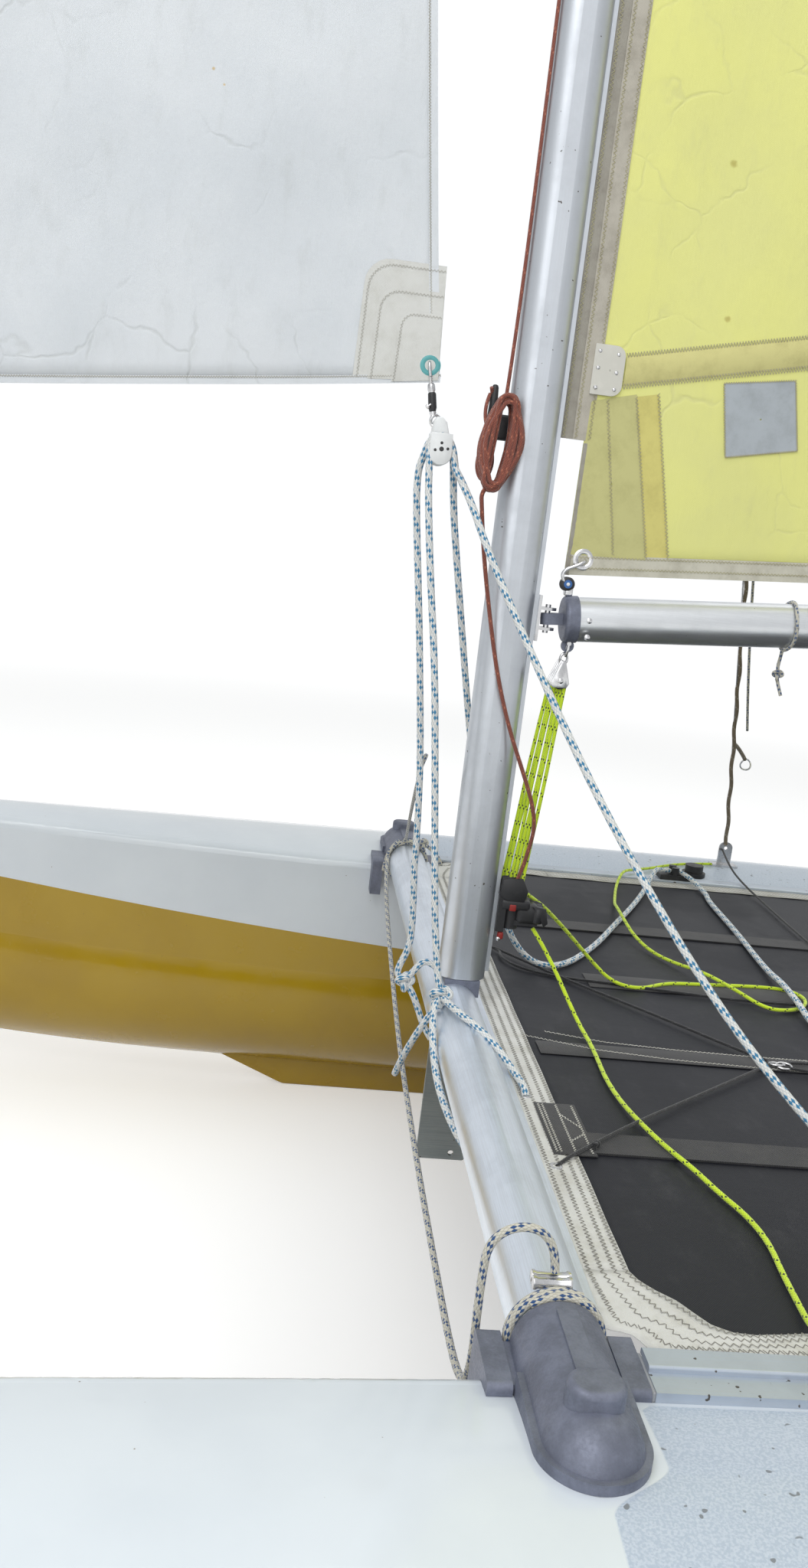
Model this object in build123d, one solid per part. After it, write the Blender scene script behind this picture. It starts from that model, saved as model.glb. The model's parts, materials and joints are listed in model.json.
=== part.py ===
from build123d import *
import os
from math import cos, pi, radians, sin, sqrt, tan

# A rigged 4.3 m beach catamaran, parked on its two keels with its rudders kicked up.
# Places are millimetres from the middle of the front beam's axis: X forward, Y to port, Z up.
# main() moves the finished boat so that the origin is the bottom centre of its whole box.

# Clearances
FIT = 0.1              # round a curved seat inside one body
RUN = 0.3              # round a pin that turns, and between faces that slide
PIN_RADIUS = 4

# Hulls
BOW_X = 1800
TRANSOM_X = -2500
HULL_Y = 978           # centre plane of a hull
HULL_WIDTH = 356
HULL_DEPTH = 548       # gunwale to keel at the deepest station
GUNWALE_Z = -12
GUNWALE_RADIUS = 22
DECK_CROWN = 18
SIDE_SHARE = 0.5       # how far down the flat side reaches
SIDE_TUCK = 0.92       # how far the side leans in at its foot
BILGE_OUT = 0.66       # where the bilge's arc passes, as shares of the half width and of the vee's depth
BILGE_UP = 0.26
JOINT_Z = -204         # moulding joint between hull and deck, under the front beam
JOINT_BOW_Z = -14
JOINT_TRANSOM_Z = -156
# Each station: the end it leans to, share of the way there, width share, gunwale rise, depth share
HULL_STATIONS = [
    (TRANSOM_X, 1.00, 0.83, 0, 0.71),
    (TRANSOM_X, 0.44, 1.00, 0, 1.00),
    (BOW_X, 0.17, 0.77, 0, 0.97),
    (BOW_X, 0.61, 0.39, 8, 0.88),
    (BOW_X, 1.00, 0.045, 24, 0.50),
]
KEEL_Z = -600          # underside of the straight keel that the boat stands on
KEEL_WIDTH = 36
KEEL_FRONT_X = 200
KEEL_BACK_X = -1700
KEEL_SLOPE = 220       # length of the run-out at each end of the keel
KEEL_TOP = 0.9         # share of the hull's depth where the strip is buried in it
INNER_Y = HULL_Y - HULL_WIDTH / 2    # a hull's inner wall

# Cross beams, their corner castings and the rails between them
REAR_BEAM_X = -2100
BEAM_RADIUS = 38
BEAM_WALL = 2.5
BEAM_END_Y = INNER_Y + 100
TRACK_DEPTH = 9        # boltrope track along a beam's inner side
TRACK_HEIGHT = 13
NECK_Y = INNER_Y + 5   # inboard end of a casting
NECK_RADIUS = 41.5
HOOD_Y = INNER_Y + 17
HOOD_RADIUS = 42.5
NOSE_Y = INNER_Y + 139     # where the hood ends and its dome begins
FLANGE = 4             # rim that stands out round the hood on the deck
FLANGE_TOP_Z = 12
EAR_FRONT_X = 70
EAR_BACK_X = -70
EAR_INNER_X = 48       # inboard of the neck an ear keeps this far from the beam's axis
EAR_Y = INNER_Y - 12   # inboard face of an ear's leg, which hangs down beside the hull
EAR_OUT_Y = INNER_Y + 62
EAR_TOP_Z = 2
EAR_BOTTOM_Z = -75
BOSS_Y = INNER_Y + 128
BOSS_LENGTH = 48       # along X
BOSS_WIDTH = 36
BOSS_TOP_Z = 57
BADGE_WIDTH = 18       # blank raised strip between neck and boss
BADGE_RISE = 2
RAIL_Y = INNER_Y + 13
RAIL_CHANNEL = 27      # width of the channel that holds the trampoline's edge
RAIL_WIDTH = 53        # channel and flange
RAIL_TOP_Z = 8
RAIL_FLANGE_Z = 2
RAIL_FOOT_Z = -16
RAIL_MOUTH = 6         # depth of the channel's slot
RAIL_END_GAP = 3       # between a rail and a casting's ear
TRACK_END = 20         # between a beam's track and a casting
TRAVELLER_WIDTH = 24
TRAVELLER_RISE = 10    # over the rear beam
TRAVELLER_HALF = 640

# Trampoline and toe straps
CLOTH = 3
TRAMP_BACK_GAP = 34    # laced gap in front of the rear beam
TRAMP_CORNER = 42      # radius cut away round a casting
STRAP_Y = 430
STRAP_WIDTH = 50
STRAP_THICKNESS = 2.5
STRAP_FRONT_X = -110
STRAP_BACK_X = -1960

# Plate under the middle of the front beam
PLATE_FRONT_X = 22
PLATE_BACK_X = -53
PLATE_THICKNESS = 6
PLATE_BOTTOM_Z = -254
PLATE_HOLE_X = -31
PLATE_HOLE_Z = -243
PLATE_HOLE_RADIUS = 4.5

# Mast
MAST_X = -11
MAST_CHORD = 70
MAST_WIDTH = 52
MAST_WALL = 2.5
MAST_TOP_Z = 6250
GROOVE_RADIUS = 2.6
LUFF_TRACK = 5
LUFF_TRACK_WIDTH = 12
STEP_TOP_Z = 44
STEP_PIN_RADIUS = 8
STEP_PIN = 38
FOOT_FLANGE = 10
FOOT_PLUG = 60
HOUND_Z = 4300
HOUND_X = 42
HEAD_CAP = 8
HEAD_RIM = 2
CRANE = 70             # how far the crane reaches aft of the luff track
CRANE_HEIGHT = 40
CRANE_CORNER = 15
CRANE_SLOT = 8
SHEAVE_RADIUS = 17
SHEAVE = 7
SHEAVE_PIN = 3
SHEAVE_Z = MAST_TOP_Z + 18

# Boom, gooseneck and mainsail
GOOSENECK_X = -67
GOOSENECK_Z = 580
JAW_GAP = 24
JAW = 4
JAW_WIDTH = 24
BRACKET_WIDTH = 28
TONGUE = 16
TONGUE_WIDTH = 18
BOOM_RISE = 4.5        # degrees
BOOM_RADIUS = 31.5
BOOM_WALL = 2
BOOM_FRONT_X = -109
BOOM_BACK_X = -2300
BOOM_CAP = 20
BOOM_CAP_RIM = 1.5
BOOM_CAP_CORNER = 6
BOOM_EYE = 6           # thickness of the eye under the front casting
BOOM_EYE_DROP = 6      # its centre, under the boom
BOOM_EYE_RADIUS = 9
BOOM_EYE_BORE = 3.5
BOOM_FIN = (24, 14)    # length and thickness of the fin on the back casting
FIN_TOP = 34           # over the boom's axis
FIN_BOTTOM = -20
OUTHAUL_LIFT = 22
SHEET_LIFT = -8
SAIL = 3
LUFF_GAP = 0.5
SAIL_FOOT_LIFT = 62    # sail's foot above the boom's axis
TACK_X = -88
TAPE_END_Z = 827       # the luff is cut back to the tack below this
SAIL_HEAD_Z = 5900
SAIL_HEAD = 150
SAIL_CLEW_X = -2190
ROACH_X = -1500
ROACH_Z = 3450
BATTEN_LUFF_Z = [924, 1850, 2780, 3700, 4600, 5350]
BATTEN_RISE = 0.22
BATTEN_WIDTH = 38
BATTEN = 2.5
BATTEN_SETBACK = 40    # from the sail's luff and leech
CLEAT_Z = 150
CLEAT_PAD = (12, 30, 60)            # depth, width and height of the pad on the mast
CLEAT_HINGE = (22, 12, 52)          # distance from the mast, radius and height
CLEAT_ARM = (62, 22, 8)             # reach from the mast, width and thickness
CLEAT_ARM_Z = CLEAT_Z - 20
CLEAT_CAMS = (46, 14, 20)           # distance from the mast, radius and height
HORN_Z = 830
HORN_PAD = (22, 14, 32)             # distance from the mast, width and height
HORN = 110
HORN_RADIUS = 6

# Standing rigging and jib
WIRE_RADIUS = 2
SHROUD_X = -760
SHROUD_Y = INNER_Y + 200
CHAINPLATE = 4
CHAINPLATE_TOP_Z = 62
CHAINPLATE_EYE_Z = 48
CHAINPLATE_WIDTH = 32
CHAINPLATE_BASE = (60, 32)          # length and width
CHAINPLATE_BASE_Z = 10
FITTING_FOOT = 10      # depth below the gunwale's level where a deck fitting is cut by the deck
BRIDLE_X = 1450
TANG_TOP_Z = 48
TANG_EYE_Z = 36
TANG_WIDTH = 28
TANG_BASE = (56, 24)
TANG_BASE_Z = 16
APEX_X = 1430
APEX_Z = 560
APEX_LINK = (32, 20, 44)
STAY_SHACKLE = (14, 28, 44)
STAY_SHACKLE_X = HOUND_X + 2
STAY_SHACKLE_Z = HOUND_Z + 4
SHROUD_END_Y = 7       # where the wires end in their shackle and link
BRIDLE_END_Y = 5
JIB_GAP = 0.5
JIB = 2.4
JIB_TACK_Z = 738
JIB_HEAD_Z = 3360
JIB_CLEW = (122, 878)
JIB_LEECH = (181, 1342)
JIB_FOOT = (699, 806)
CLEW_BLOCK = (112, 788)
JIB_HEAD = 8
CLEW_EYE = (138, 898)
CLEW_BLOCK_RADIUS = 24
CLEW_BLOCK_WIDTH = 26
CLEW_BLOCK_EDGE = 4
CLEW_STRAP = 3
CLEW_STRAP_WIDTH = 8
CLEW_BOLT = 3

# Sheet cleats on the rails and turning blocks on the decks
SHEET_CLEAT_X = -590
SHEET_CLEAT_Y = INNER_Y + 32
SHEET_CLEAT = (68, 38, 10)          # its base
CAM_RADIUS = 8
CAM_SPREAD = 11        # from the middle of the cleat to a cam's axis
CAM = 26
DECK_BLOCK_X = -660
DECK_BLOCK_Y = INNER_Y + 105
DECK_BLOCK_RADIUS = 20
DECK_BLOCK_TOP_Z = 24
DECK_BLOCK_BASE_RADIUS = 26
DECK_BLOCK_BASE_Z = 8
DECK_BLOCK_FOOT_Z = -40

# Rudders and steering
RUDDER_AXIS_X = -2522
GUDGEON_Z = [-90, -290]
GUDGEON = 10
GUDGEON_PLATE = (4, 60, 38)         # thickness, width and height on the transom
GUDGEON_WIDTH = 20
STOCK_LUG_WIDTH = 18
PIN_OVERHANG = 6       # of a pin past what it holds
BLADE_PIN_OVERHANG = 3
TILLER_COVER = 6       # of the stock's head over the tiller
TILLER_COLLAR_RADIUS = 10
STOCK_FRONT_X = -2533
STOCK_SPINE = 14
STOCK_BACK_X = -2650
STOCK_HALF = 19
CHEEK = 5.5
CHEEK_TOP_Z = -70
CHEEK_BOTTOM_Z = -235
HEAD_BACK_X = -2598
HEAD_BOTTOM_Z = -52
TILLER_Z = 95
TILLER_RADIUS = 12.5
TILLER_FRONT_X = -1955
LINK_X = -1975         # where the crossbar is pinned to a tiller
LINK_Z = 128
LINK_BLOCK = 28
BLADE_PIVOT = (-2610, -150)
BLADE_ROOT = 55
BLADE = 24
BLADE_LEADING = 45
BLADE_TRAILING = 150
BLADE_SHOULDER = 210
BLADE_LENGTH = 720
BLADE_EDGE = 576       # where the straight leading edge ends
BLADE_BACK_EDGE = 612
BLADE_TIP = (15, 125)  # the tip's two corners, aft of the pivot
BLADE_RAISED = 100     # degrees from straight down to its parked place
EXTENSION = 820
EXTENSION_RADIUS = 11
EXTENSION_Z = 157

# Ropes that hang or lie free: diameter, then the route. A starboard Y is negative.
SHEET_ROPE = 10
LINE_ROPE = 8
THIN_ROPE = 6
ROUTES = {
    "rope_sheet_port": (SHEET_ROPE, [
        (89, 14, 768), (68, 38, 733), (41, 71, 668), (5, 113, 596), (-36, 162, 517), (-80, 215, 435),
        (-127, 272, 354), (-175, 330, 280), (-222, 386, 212), (-268, 441, 154), (-314, 496, 106),
        (-358, 549, 67), (-400, 600, 38), (-440, 648, 19), (-476, 692, 11), (-502, 732, 13),
        (-520, 768, 22), (-540, 807, 30), (-556, 826, 26.5), (-581.5, 832, 23.3)]),
    "rope_sheet_starboard": (SHEET_ROPE, [
        (88, -13, 767), (82, -20, 722), (68, -31, 655), (50, -46, 575), (31, -61, 490), (11, -77, 402),
        (-12, -95, 315), (-38, -114, 232), (-66, -134, 155), (-95, -152, 90), (-124, -166, 40),
        (-156, -172, 13), (-192, -178, 7.5), (-226, -206, 7.5), (-262, -258, 7.5), (-300, -320, 8),
        (-340, -395, 10), (-382, -478, 10), (-424, -562, 8), (-462, -640, 9), (-496, -712, 13),
        (-520, -764, 22), (-540, -805, 30), (-556, -826, 26.5), (-581.5, -832, 23.3)]),
    "rope_sheet_end": (SHEET_ROPE, [
        (38.6, 97, 20), (52, 91, -8), (62, 74, -42), (69, 50, -78), (72, 24, -110)]),
    "rope_between_hulls": (LINE_ROPE, [
        (40, -786, 14), (45, -740, -6), (48, -688, -18), (50, -610, -37), (51, -500, -62),
        (52, -390, -80), (53, -280, -97), (54, -170, -110), (55, -60, -120), (55, 50, -128),
        (55, 160, -134), (55, 270, -138), (55, 380, -140), (55, 490, -140), (56, 595, -136),
        (58, 680, -122), (61, 738, -92), (64, 768, -48), (67, 777, 2), (68, 779, 40), (67, 780, 77),
        (49, 781, 95), (23, 781, 96), (6, 781, 76), (4, 781, 54.5)]),
    "rope_downhaul_port": (THIN_ROPE, [
        (-108, 3, 126), (-119, 6, 112), (-132, 13, 93), (-149, 28, 66), (-168, 50, 31), (-179, 84, 11),
        (-184, 130, 5.4), (-182, 185, 5.4), (-178, 250, 5.4), (-181, 318, 6), (-190, 378, 8),
        (-204, 434, 8), (-224, 484, 7), (-238, 532, 5.4), (-254, 578, 5.4), (-259, 628, 5.4),
        (-252, 684, 5.4), (-248, 734, 5.8), (-243, 774, 9), (-246, 808, 19), (-258, 846, 17),
        (-286, 874, 8), (-336, 890, 4.5), (-405, 899, 5), (-480, 905, 5.5), (-552, 916, 6.5),
        (-612, 942, 8.6), (-670, 970, 9.6), (-728.8, 990, 9.4)]),
    "rope_downhaul_starboard": (THIN_ROPE, [
        (-90, -3, 178), (-112, -22, 162), (-137, -50, 142), (-186, -90, 95), (-237, -120, 43),
        (-276, -116, 10), (-321, -107, 5.4), (-374, -147, 5.4), (-428, -154, 5.4), (-492, -162, 5.4),
        (-555, -168, 5.4), (-592, -160, 5.4), (-606, -130, 5.4), (-592, -92, 5.4), (-556, -64, 5.4),
        (-512, -60, 7), (-478, -112, 17), (-448, -186, 17), (-420, -245, 8), (-394, -303, 6),
        (-378, -365, 14), (-374, -425, 24), (-381, -512, 24), (-394, -572, 11), (-412, -640, 7),
        (-430, -705, 9), (-450, -760, 17), (-474, -812, 20), (-512, -860, 12), (-558, -902, 7.5),
        (-610, -940, 9), (-668, -970, 10), (-728.8, -990, 9.4)]),
    "rope_halyard_tail": (THIN_ROPE, [
        (49, 40, 751), (50, 40, 722), (43, 39, 680), (33, 38, 632), (20, 37, 578), (5, 36, 520),
        (-12, 36, 466), (-33, 37, 412), (-56, 36, 364), (-77, 32, 318), (-86, 26, 282), (-83, 19, 248),
        (-78, 13, 214), (-70, 6, 180.5)]),
}
FERRULE_X = 6          # metal ferrule on the port end of the rope between the hulls, on top of the beam
FERRULE_Y = 781
FERRULE = (36, 12)
FERRULE_TOP_Z = 54
ARC_SHARE = 0.45       # of the shorter run, at each bend of a rope
COIL_X = 30
COIL_Z = 807
COIL_HALF_WIDTH = 32
COIL_HALF_HEIGHT = 65
COIL = 26


def block(x0, x1, y0, y1, z0, z1):
    middle = Pos((x0 + x1) / 2, (y0 + y1) / 2, (z0 + z1) / 2)
    return middle * Box(abs(x1 - x0), abs(y1 - y0), abs(z1 - z0))


def rod(start, end, radius):
    """A round bar between two points."""
    way = Vector(*end) - Vector(*start)
    plane = Plane(origin=start, z_dir=way)
    return plane * Cylinder(radius, way.length, align=(Align.CENTER, Align.CENTER, Align.MIN))


def upright(x, y, low, high, radius):
    """A round upright bar."""
    return rod((x, y, low), (x, y, high), radius)


def side_plate(outline, half):
    """A plate in a fore-and-aft plane, from an outline in X and Z, centred on Y = 0."""
    return extrude(Plane.XZ * make_face(outline), amount=half, both=True)


def both_sides(part):
    return [part, mirror(part, about=Plane.XZ)]


def two(part):
    """The port piece and its mirror image as one group."""
    return Compound(children=both_sides(part))


def pair(name, part):
    """The port piece and its mirror image to starboard, by name."""
    port, starboard = both_sides(part)
    return {name + "_port": port, name + "_starboard": starboard}


# Hulls

def hull_section(x, half, top, keel):
    """One closed section: crowned deck, round gunwales, flat sides and a vee with round bilges."""
    radius = min(GUNWALE_RADIUS, 0.45 * half)
    inset = radius * (1 - sqrt(0.5))
    crown = DECK_CROWN * 2 * half / HULL_WIDTH
    side_z = top - SIDE_SHARE * (top - keel)
    bilge = (BILGE_OUT * half, keel + BILGE_UP * (side_z - keel))
    outline = ThreePointArc((radius - half, top), (0, top + crown), (half - radius, top))
    for side in (1, -1):
        edge = (side * half, top - radius)
        foot = (side * SIDE_TUCK * half, side_z)
        outline += ThreePointArc((side * (half - radius), top), (side * (half - inset), top - inset), edge)
        outline += Line(edge, foot)
        outline += ThreePointArc(foot, (side * bilge[0], bilge[1]), (0, keel))
    plane = Plane(origin=(x, HULL_Y, 0), x_dir=(0, 1, 0), z_dir=(1, 0, 0))
    return plane * make_face(outline)


def hull_form():
    """The whole outer form of the port hull with its deck."""
    sections = []
    for end, share, width, rise, depth in HULL_STATIONS:
        top = GUNWALE_Z + rise
        keel = GUNWALE_Z - depth * HULL_DEPTH
        sections.append(hull_section(end * share, width * HULL_WIDTH / 2, top, keel))
    return loft(sections)


def above_joint():
    """Everything above the arc where the deck moulding meets the hull."""
    reach = HULL_Y
    arc = ThreePointArc((TRANSOM_X, JOINT_TRANSOM_Z), (0, JOINT_Z), (BOW_X, JOINT_BOW_Z))
    back = Line(arc @ 0, arc @ 0 - arc % 0 * reach)
    front = Line(arc @ 1, arc @ 1 + arc % 1 * reach)
    lid = Polyline(front @ 1, (BOW_X + reach, reach), (TRANSOM_X - reach, reach), back @ 1)
    return side_plate(back + arc + front + lid, HULL_Y + HULL_WIDTH)


def keel_strip():
    top = GUNWALE_Z - KEEL_TOP * HULL_DEPTH
    outline = Polyline(
        (KEEL_FRONT_X + KEEL_SLOPE, top), (KEEL_FRONT_X, KEEL_Z), (KEEL_BACK_X, KEEL_Z),
        (KEEL_BACK_X - KEEL_SLOPE, top), close=True)
    strip = side_plate(outline, KEEL_WIDTH / 2)
    lower = strip.edges().filter_by(Axis.X).group_by(Axis.Z)[0]
    return Pos(0, HULL_Y, 0) * fillet(lower, KEEL_WIDTH / 4)


def beam_recess(beam_x):
    """The half-round seat for a beam's end in the deck."""
    return rod((beam_x, NECK_Y - HOOD_RADIUS, 0), (beam_x, BEAM_END_Y + RUN, 0), BEAM_RADIUS + FIT)


def hulls(form):
    above = above_joint()
    deck = form & above
    for beam_x in (0, REAR_BEAM_X):
        deck -= beam_recess(beam_x)
    hull = (form - above) + keel_strip()
    return {**pair("hull", hull), **pair("deck", deck)}


# Beams and what joins them to the hulls

def beam(beam_x, track_side):
    """A round tube with a boltrope track along its inner side."""
    tube = rod((beam_x, -BEAM_END_Y, 0), (beam_x, BEAM_END_Y, 0), BEAM_RADIUS)
    track_y = NECK_Y - TRACK_END
    deep = beam_x + track_side * (BEAM_RADIUS + TRACK_DEPTH)
    tube += block(beam_x, deep, -track_y, track_y, -TRACK_HEIGHT / 2, TRACK_HEIGHT / 2)
    bore = rod((beam_x, -BEAM_END_Y, 0), (beam_x, BEAM_END_Y, 0), BEAM_RADIUS - BEAM_WALL)
    slot_x = beam_x + track_side * (BEAM_RADIUS + TRACK_DEPTH / 2)
    groove = rod((slot_x, -track_y, 0), (slot_x, track_y, 0), CLOTH)
    mouth = block(slot_x, deep, -track_y, track_y, -CLOTH / 2 - RUN, CLOTH / 2 + RUN)
    return tube - bore - groove - mouth


def corner_casting(beam_x, form):
    """A cast hood over a beam's end, with a rim on the deck and two ears that hook over the hull's edge."""
    hood = rod((0, NECK_Y, 0), (0, HOOD_Y, 0), NECK_RADIUS)
    hood += rod((0, HOOD_Y, 0), (0, NOSE_Y, 0), HOOD_RADIUS)
    hood += Pos(0, NOSE_Y, 0) * Sphere(HOOD_RADIUS)
    rim = HOOD_RADIUS + FLANGE
    flange = block(-rim, rim, EAR_OUT_Y, NOSE_Y, GUNWALE_Z - FLANGE_TOP_Z, FLANGE_TOP_Z)
    flange += block(-HOOD_RADIUS, HOOD_RADIUS, HOOD_Y, NOSE_Y, GUNWALE_Z - FLANGE_TOP_Z, 0)
    flange += upright(0, NOSE_Y, GUNWALE_Z - FLANGE_TOP_Z, FLANGE_TOP_Z, rim)
    boss = Pos(0, BOSS_Y) * extrude(SlotOverall(BOSS_LENGTH, BOSS_WIDTH), BOSS_TOP_Z)
    boss = fillet(boss.edges().group_by(Axis.Z)[-1], BOSS_WIDTH / 6)
    badge = block(-BADGE_WIDTH / 2, BADGE_WIDTH / 2, HOOD_Y + FLANGE, BOSS_Y - BOSS_WIDTH / 2, 0,
                  HOOD_RADIUS + BADGE_RISE)
    casting = hood + flange + boss + badge
    for outer_x, inner_x in ((EAR_FRONT_X, EAR_INNER_X), (EAR_BACK_X, -EAR_INNER_X)):
        ear = block(inner_x, outer_x, EAR_Y, EAR_OUT_Y + FLANGE, EAR_BOTTOM_Z, EAR_TOP_Z)
        casting += fillet(ear.edges().filter_by(Axis.X).group_by(Axis.Z)[-1], (EAR_TOP_Z - GUNWALE_Z) / 2)
    casting += block(-EAR_INNER_X, EAR_INNER_X, NECK_Y, EAR_OUT_Y, GUNWALE_Z - FLANGE_TOP_Z, 0)
    return Pos(beam_x, 0, 0) * casting - beam_recess(beam_x) - form


def rail(form):
    """An extrusion on the deck's inner edge: a channel for the trampoline and a flange, screwed down."""
    front = EAR_BACK_X - RAIL_END_GAP
    back = REAR_BEAM_X + EAR_FRONT_X + RAIL_END_GAP
    bar = block(back, front, RAIL_Y, RAIL_Y + RAIL_CHANNEL, RAIL_FOOT_Z, RAIL_TOP_Z)
    bar = fillet(bar.edges().filter_by(Axis.X).group_by(Axis.Z)[-1], RAIL_TOP_Z / 3)
    bar += block(back, front, RAIL_Y + RAIL_CHANNEL, RAIL_Y + RAIL_WIDTH, RAIL_FOOT_Z, RAIL_FLANGE_Z)
    half = CLOTH / 2 + RUN
    return bar - block(back, front, RAIL_Y, RAIL_Y + RAIL_MOUTH, -half, half) - form


def centre_plate():
    plate = block(PLATE_BACK_X, PLATE_FRONT_X, -PLATE_THICKNESS / 2, PLATE_THICKNESS / 2, PLATE_BOTTOM_Z, 0)
    plate = fillet(plate.edges().filter_by(Axis.Y).group_by(Axis.Z)[0], PLATE_HOLE_RADIUS)
    plate -= rod((0, -PLATE_THICKNESS, 0), (0, PLATE_THICKNESS, 0), BEAM_RADIUS + FIT)
    plate -= block(PLATE_BACK_X, PLATE_FRONT_X, -PLATE_THICKNESS, PLATE_THICKNESS, -TRACK_HEIGHT, 0)
    hole = rod((PLATE_HOLE_X, -PLATE_THICKNESS, PLATE_HOLE_Z), (PLATE_HOLE_X, PLATE_THICKNESS, PLATE_HOLE_Z),
               PLATE_HOLE_RADIUS)
    return plate - hole


def traveller_track():
    back, front = REAR_BEAM_X - TRAVELLER_WIDTH / 2, REAR_BEAM_X + TRAVELLER_WIDTH / 2
    track = block(back, front, -TRAVELLER_HALF, TRAVELLER_HALF, 0, BEAM_RADIUS + TRAVELLER_RISE)
    seat = rod((REAR_BEAM_X, -TRAVELLER_HALF, 0), (REAR_BEAM_X, TRAVELLER_HALF, 0), BEAM_RADIUS + FIT)
    return track - seat


# Trampoline

def trampoline():
    front = -BEAM_RADIUS - TRACK_DEPTH / 2
    back = REAR_BEAM_X + BEAM_RADIUS + TRAMP_BACK_GAP
    half = RAIL_Y - RUN
    cloth = block(back, front, -half, half, -CLOTH / 2, CLOTH / 2)
    for side in (1, -1):
        for corner_x in (front, back):
            cloth -= upright(corner_x, side * RAIL_Y, -CLOTH, CLOTH, TRAMP_CORNER)
    return cloth


def toe_strap():
    return block(STRAP_BACK_X, STRAP_FRONT_X, STRAP_Y - STRAP_WIDTH / 2, STRAP_Y + STRAP_WIDTH / 2,
                 CLOTH / 2, CLOTH / 2 + STRAP_THICKNESS)


# Mast

def mast_outline(chord, width):
    return Pos(MAST_X, 0) * SlotOverall(chord, width)


def mast_step():
    """A saddle on the front beam with the pin that the mast turns on."""
    half = MAST_WIDTH / 2
    step = block(MAST_X - half, MAST_X + half, -half, half, BEAM_RADIUS / 2, STEP_TOP_Z)
    step -= rod((0, -half, 0), (0, half, 0), BEAM_RADIUS + FIT)
    return step + upright(MAST_X, 0, STEP_TOP_Z, STEP_TOP_Z + STEP_PIN, STEP_PIN_RADIUS)


def mast_foot():
    low = STEP_TOP_Z + 2 * RUN
    foot = Pos(0, 0, low) * extrude(mast_outline(MAST_CHORD, MAST_WIDTH), FOOT_FLANGE)
    shrink = 2 * (MAST_WALL + FIT)
    plug = mast_outline(MAST_CHORD - shrink, MAST_WIDTH - shrink)
    foot += Pos(0, 0, low) * extrude(plug, FOOT_PLUG)
    bore_top = STEP_TOP_Z + STEP_PIN + RUN
    return foot - upright(MAST_X, 0, low, bore_top, STEP_PIN_RADIUS + RUN)


def track_face_x():
    """The aft face of the mast's luff track."""
    return MAST_X - MAST_CHORD / 2 - LUFF_TRACK


def mast():
    low = STEP_TOP_Z + 2 * RUN + FOOT_FLANGE
    outside = mast_outline(MAST_CHORD, MAST_WIDTH)
    inside = mast_outline(MAST_CHORD - 2 * MAST_WALL, MAST_WIDTH - 2 * MAST_WALL)
    face = track_face_x()
    track = Pos(face + LUFF_TRACK, 0) * Rectangle(2 * LUFF_TRACK, LUFF_TRACK_WIDTH)
    groove_x = face + LUFF_TRACK - GROOVE_RADIUS / 2
    groove = Pos(groove_x, 0) * Circle(GROOVE_RADIUS) + Pos(face, 0) * Rectangle(LUFF_TRACK, GROOVE_RADIUS)
    section = (outside + (track - inside)) - inside - groove
    return Pos(0, 0, low) * extrude(section, MAST_TOP_Z - low)


def masthead():
    """A cap with a crane that holds the halyard's sheave over the luff."""
    cap = extrude(mast_outline(MAST_CHORD + 2 * HEAD_RIM, MAST_WIDTH + 2 * HEAD_RIM), HEAD_CAP)
    end = track_face_x() - CRANE
    crane_top = MAST_TOP_Z + CRANE_HEIGHT
    crane = block(end, MAST_X, -LUFF_TRACK_WIDTH, LUFF_TRACK_WIDTH, MAST_TOP_Z, crane_top)
    crane = fillet(crane.edges().filter_by(Axis.Y).group_by(Axis.Z)[-1], CRANE_CORNER)
    crane -= block(end, end + CRANE / 2, -CRANE_SLOT / 2, CRANE_SLOT / 2, MAST_TOP_Z, crane_top)
    sheave_x = end + CRANE / 4
    crane += rod((sheave_x, -LUFF_TRACK_WIDTH, SHEAVE_Z), (sheave_x, LUFF_TRACK_WIDTH, SHEAVE_Z), SHEAVE_PIN)
    crane += rod((sheave_x, -SHEAVE / 2, SHEAVE_Z), (sheave_x, SHEAVE / 2, SHEAVE_Z), SHEAVE_RADIUS)
    return Pos(0, 0, MAST_TOP_Z) * cap + crane


def gooseneck():
    """A bracket on the mast's aft side: two jaws and the upright pin that holds the boom."""
    face = track_face_x()
    half = JAW_GAP / 2 + JAW
    bracket = block(face - JAW, face, -BRACKET_WIDTH / 2, BRACKET_WIDTH / 2, GOOSENECK_Z - 2 * half,
                    GOOSENECK_Z + 2 * half)
    for side in (1, -1):
        inner = GOOSENECK_Z + side * JAW_GAP / 2
        outer = inner + side * JAW
        bracket += block(GOOSENECK_X, face, -JAW_WIDTH / 2, JAW_WIDTH / 2, inner, outer)
        bracket += upright(GOOSENECK_X, 0, min(inner, outer), max(inner, outer), JAW_WIDTH / 2)
    return bracket + upright(GOOSENECK_X, 0, GOOSENECK_Z - half - JAW, GOOSENECK_Z + half + JAW, PIN_RADIUS)


def downhaul_cleat():
    """A swivelling cam cleat low on the mast's aft side."""
    face = track_face_x()
    depth, width, height = CLEAT_PAD
    cleat = block(face - depth, face, -width / 2, width / 2, CLEAT_Z - height / 2, CLEAT_Z + height / 2)
    reach, radius, height = CLEAT_HINGE
    hinge_x = face - reach
    cleat += upright(hinge_x, 0, CLEAT_Z - height / 2, CLEAT_Z + height / 2, radius)
    reach, width, thickness = CLEAT_ARM
    arm_top = CLEAT_ARM_Z + thickness
    cleat += block(face - reach, hinge_x, -width / 2, width / 2, CLEAT_ARM_Z, arm_top)
    reach, radius, height = CLEAT_CAMS
    return cleat + upright(face - reach, 0, arm_top, arm_top + height, radius)


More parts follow.
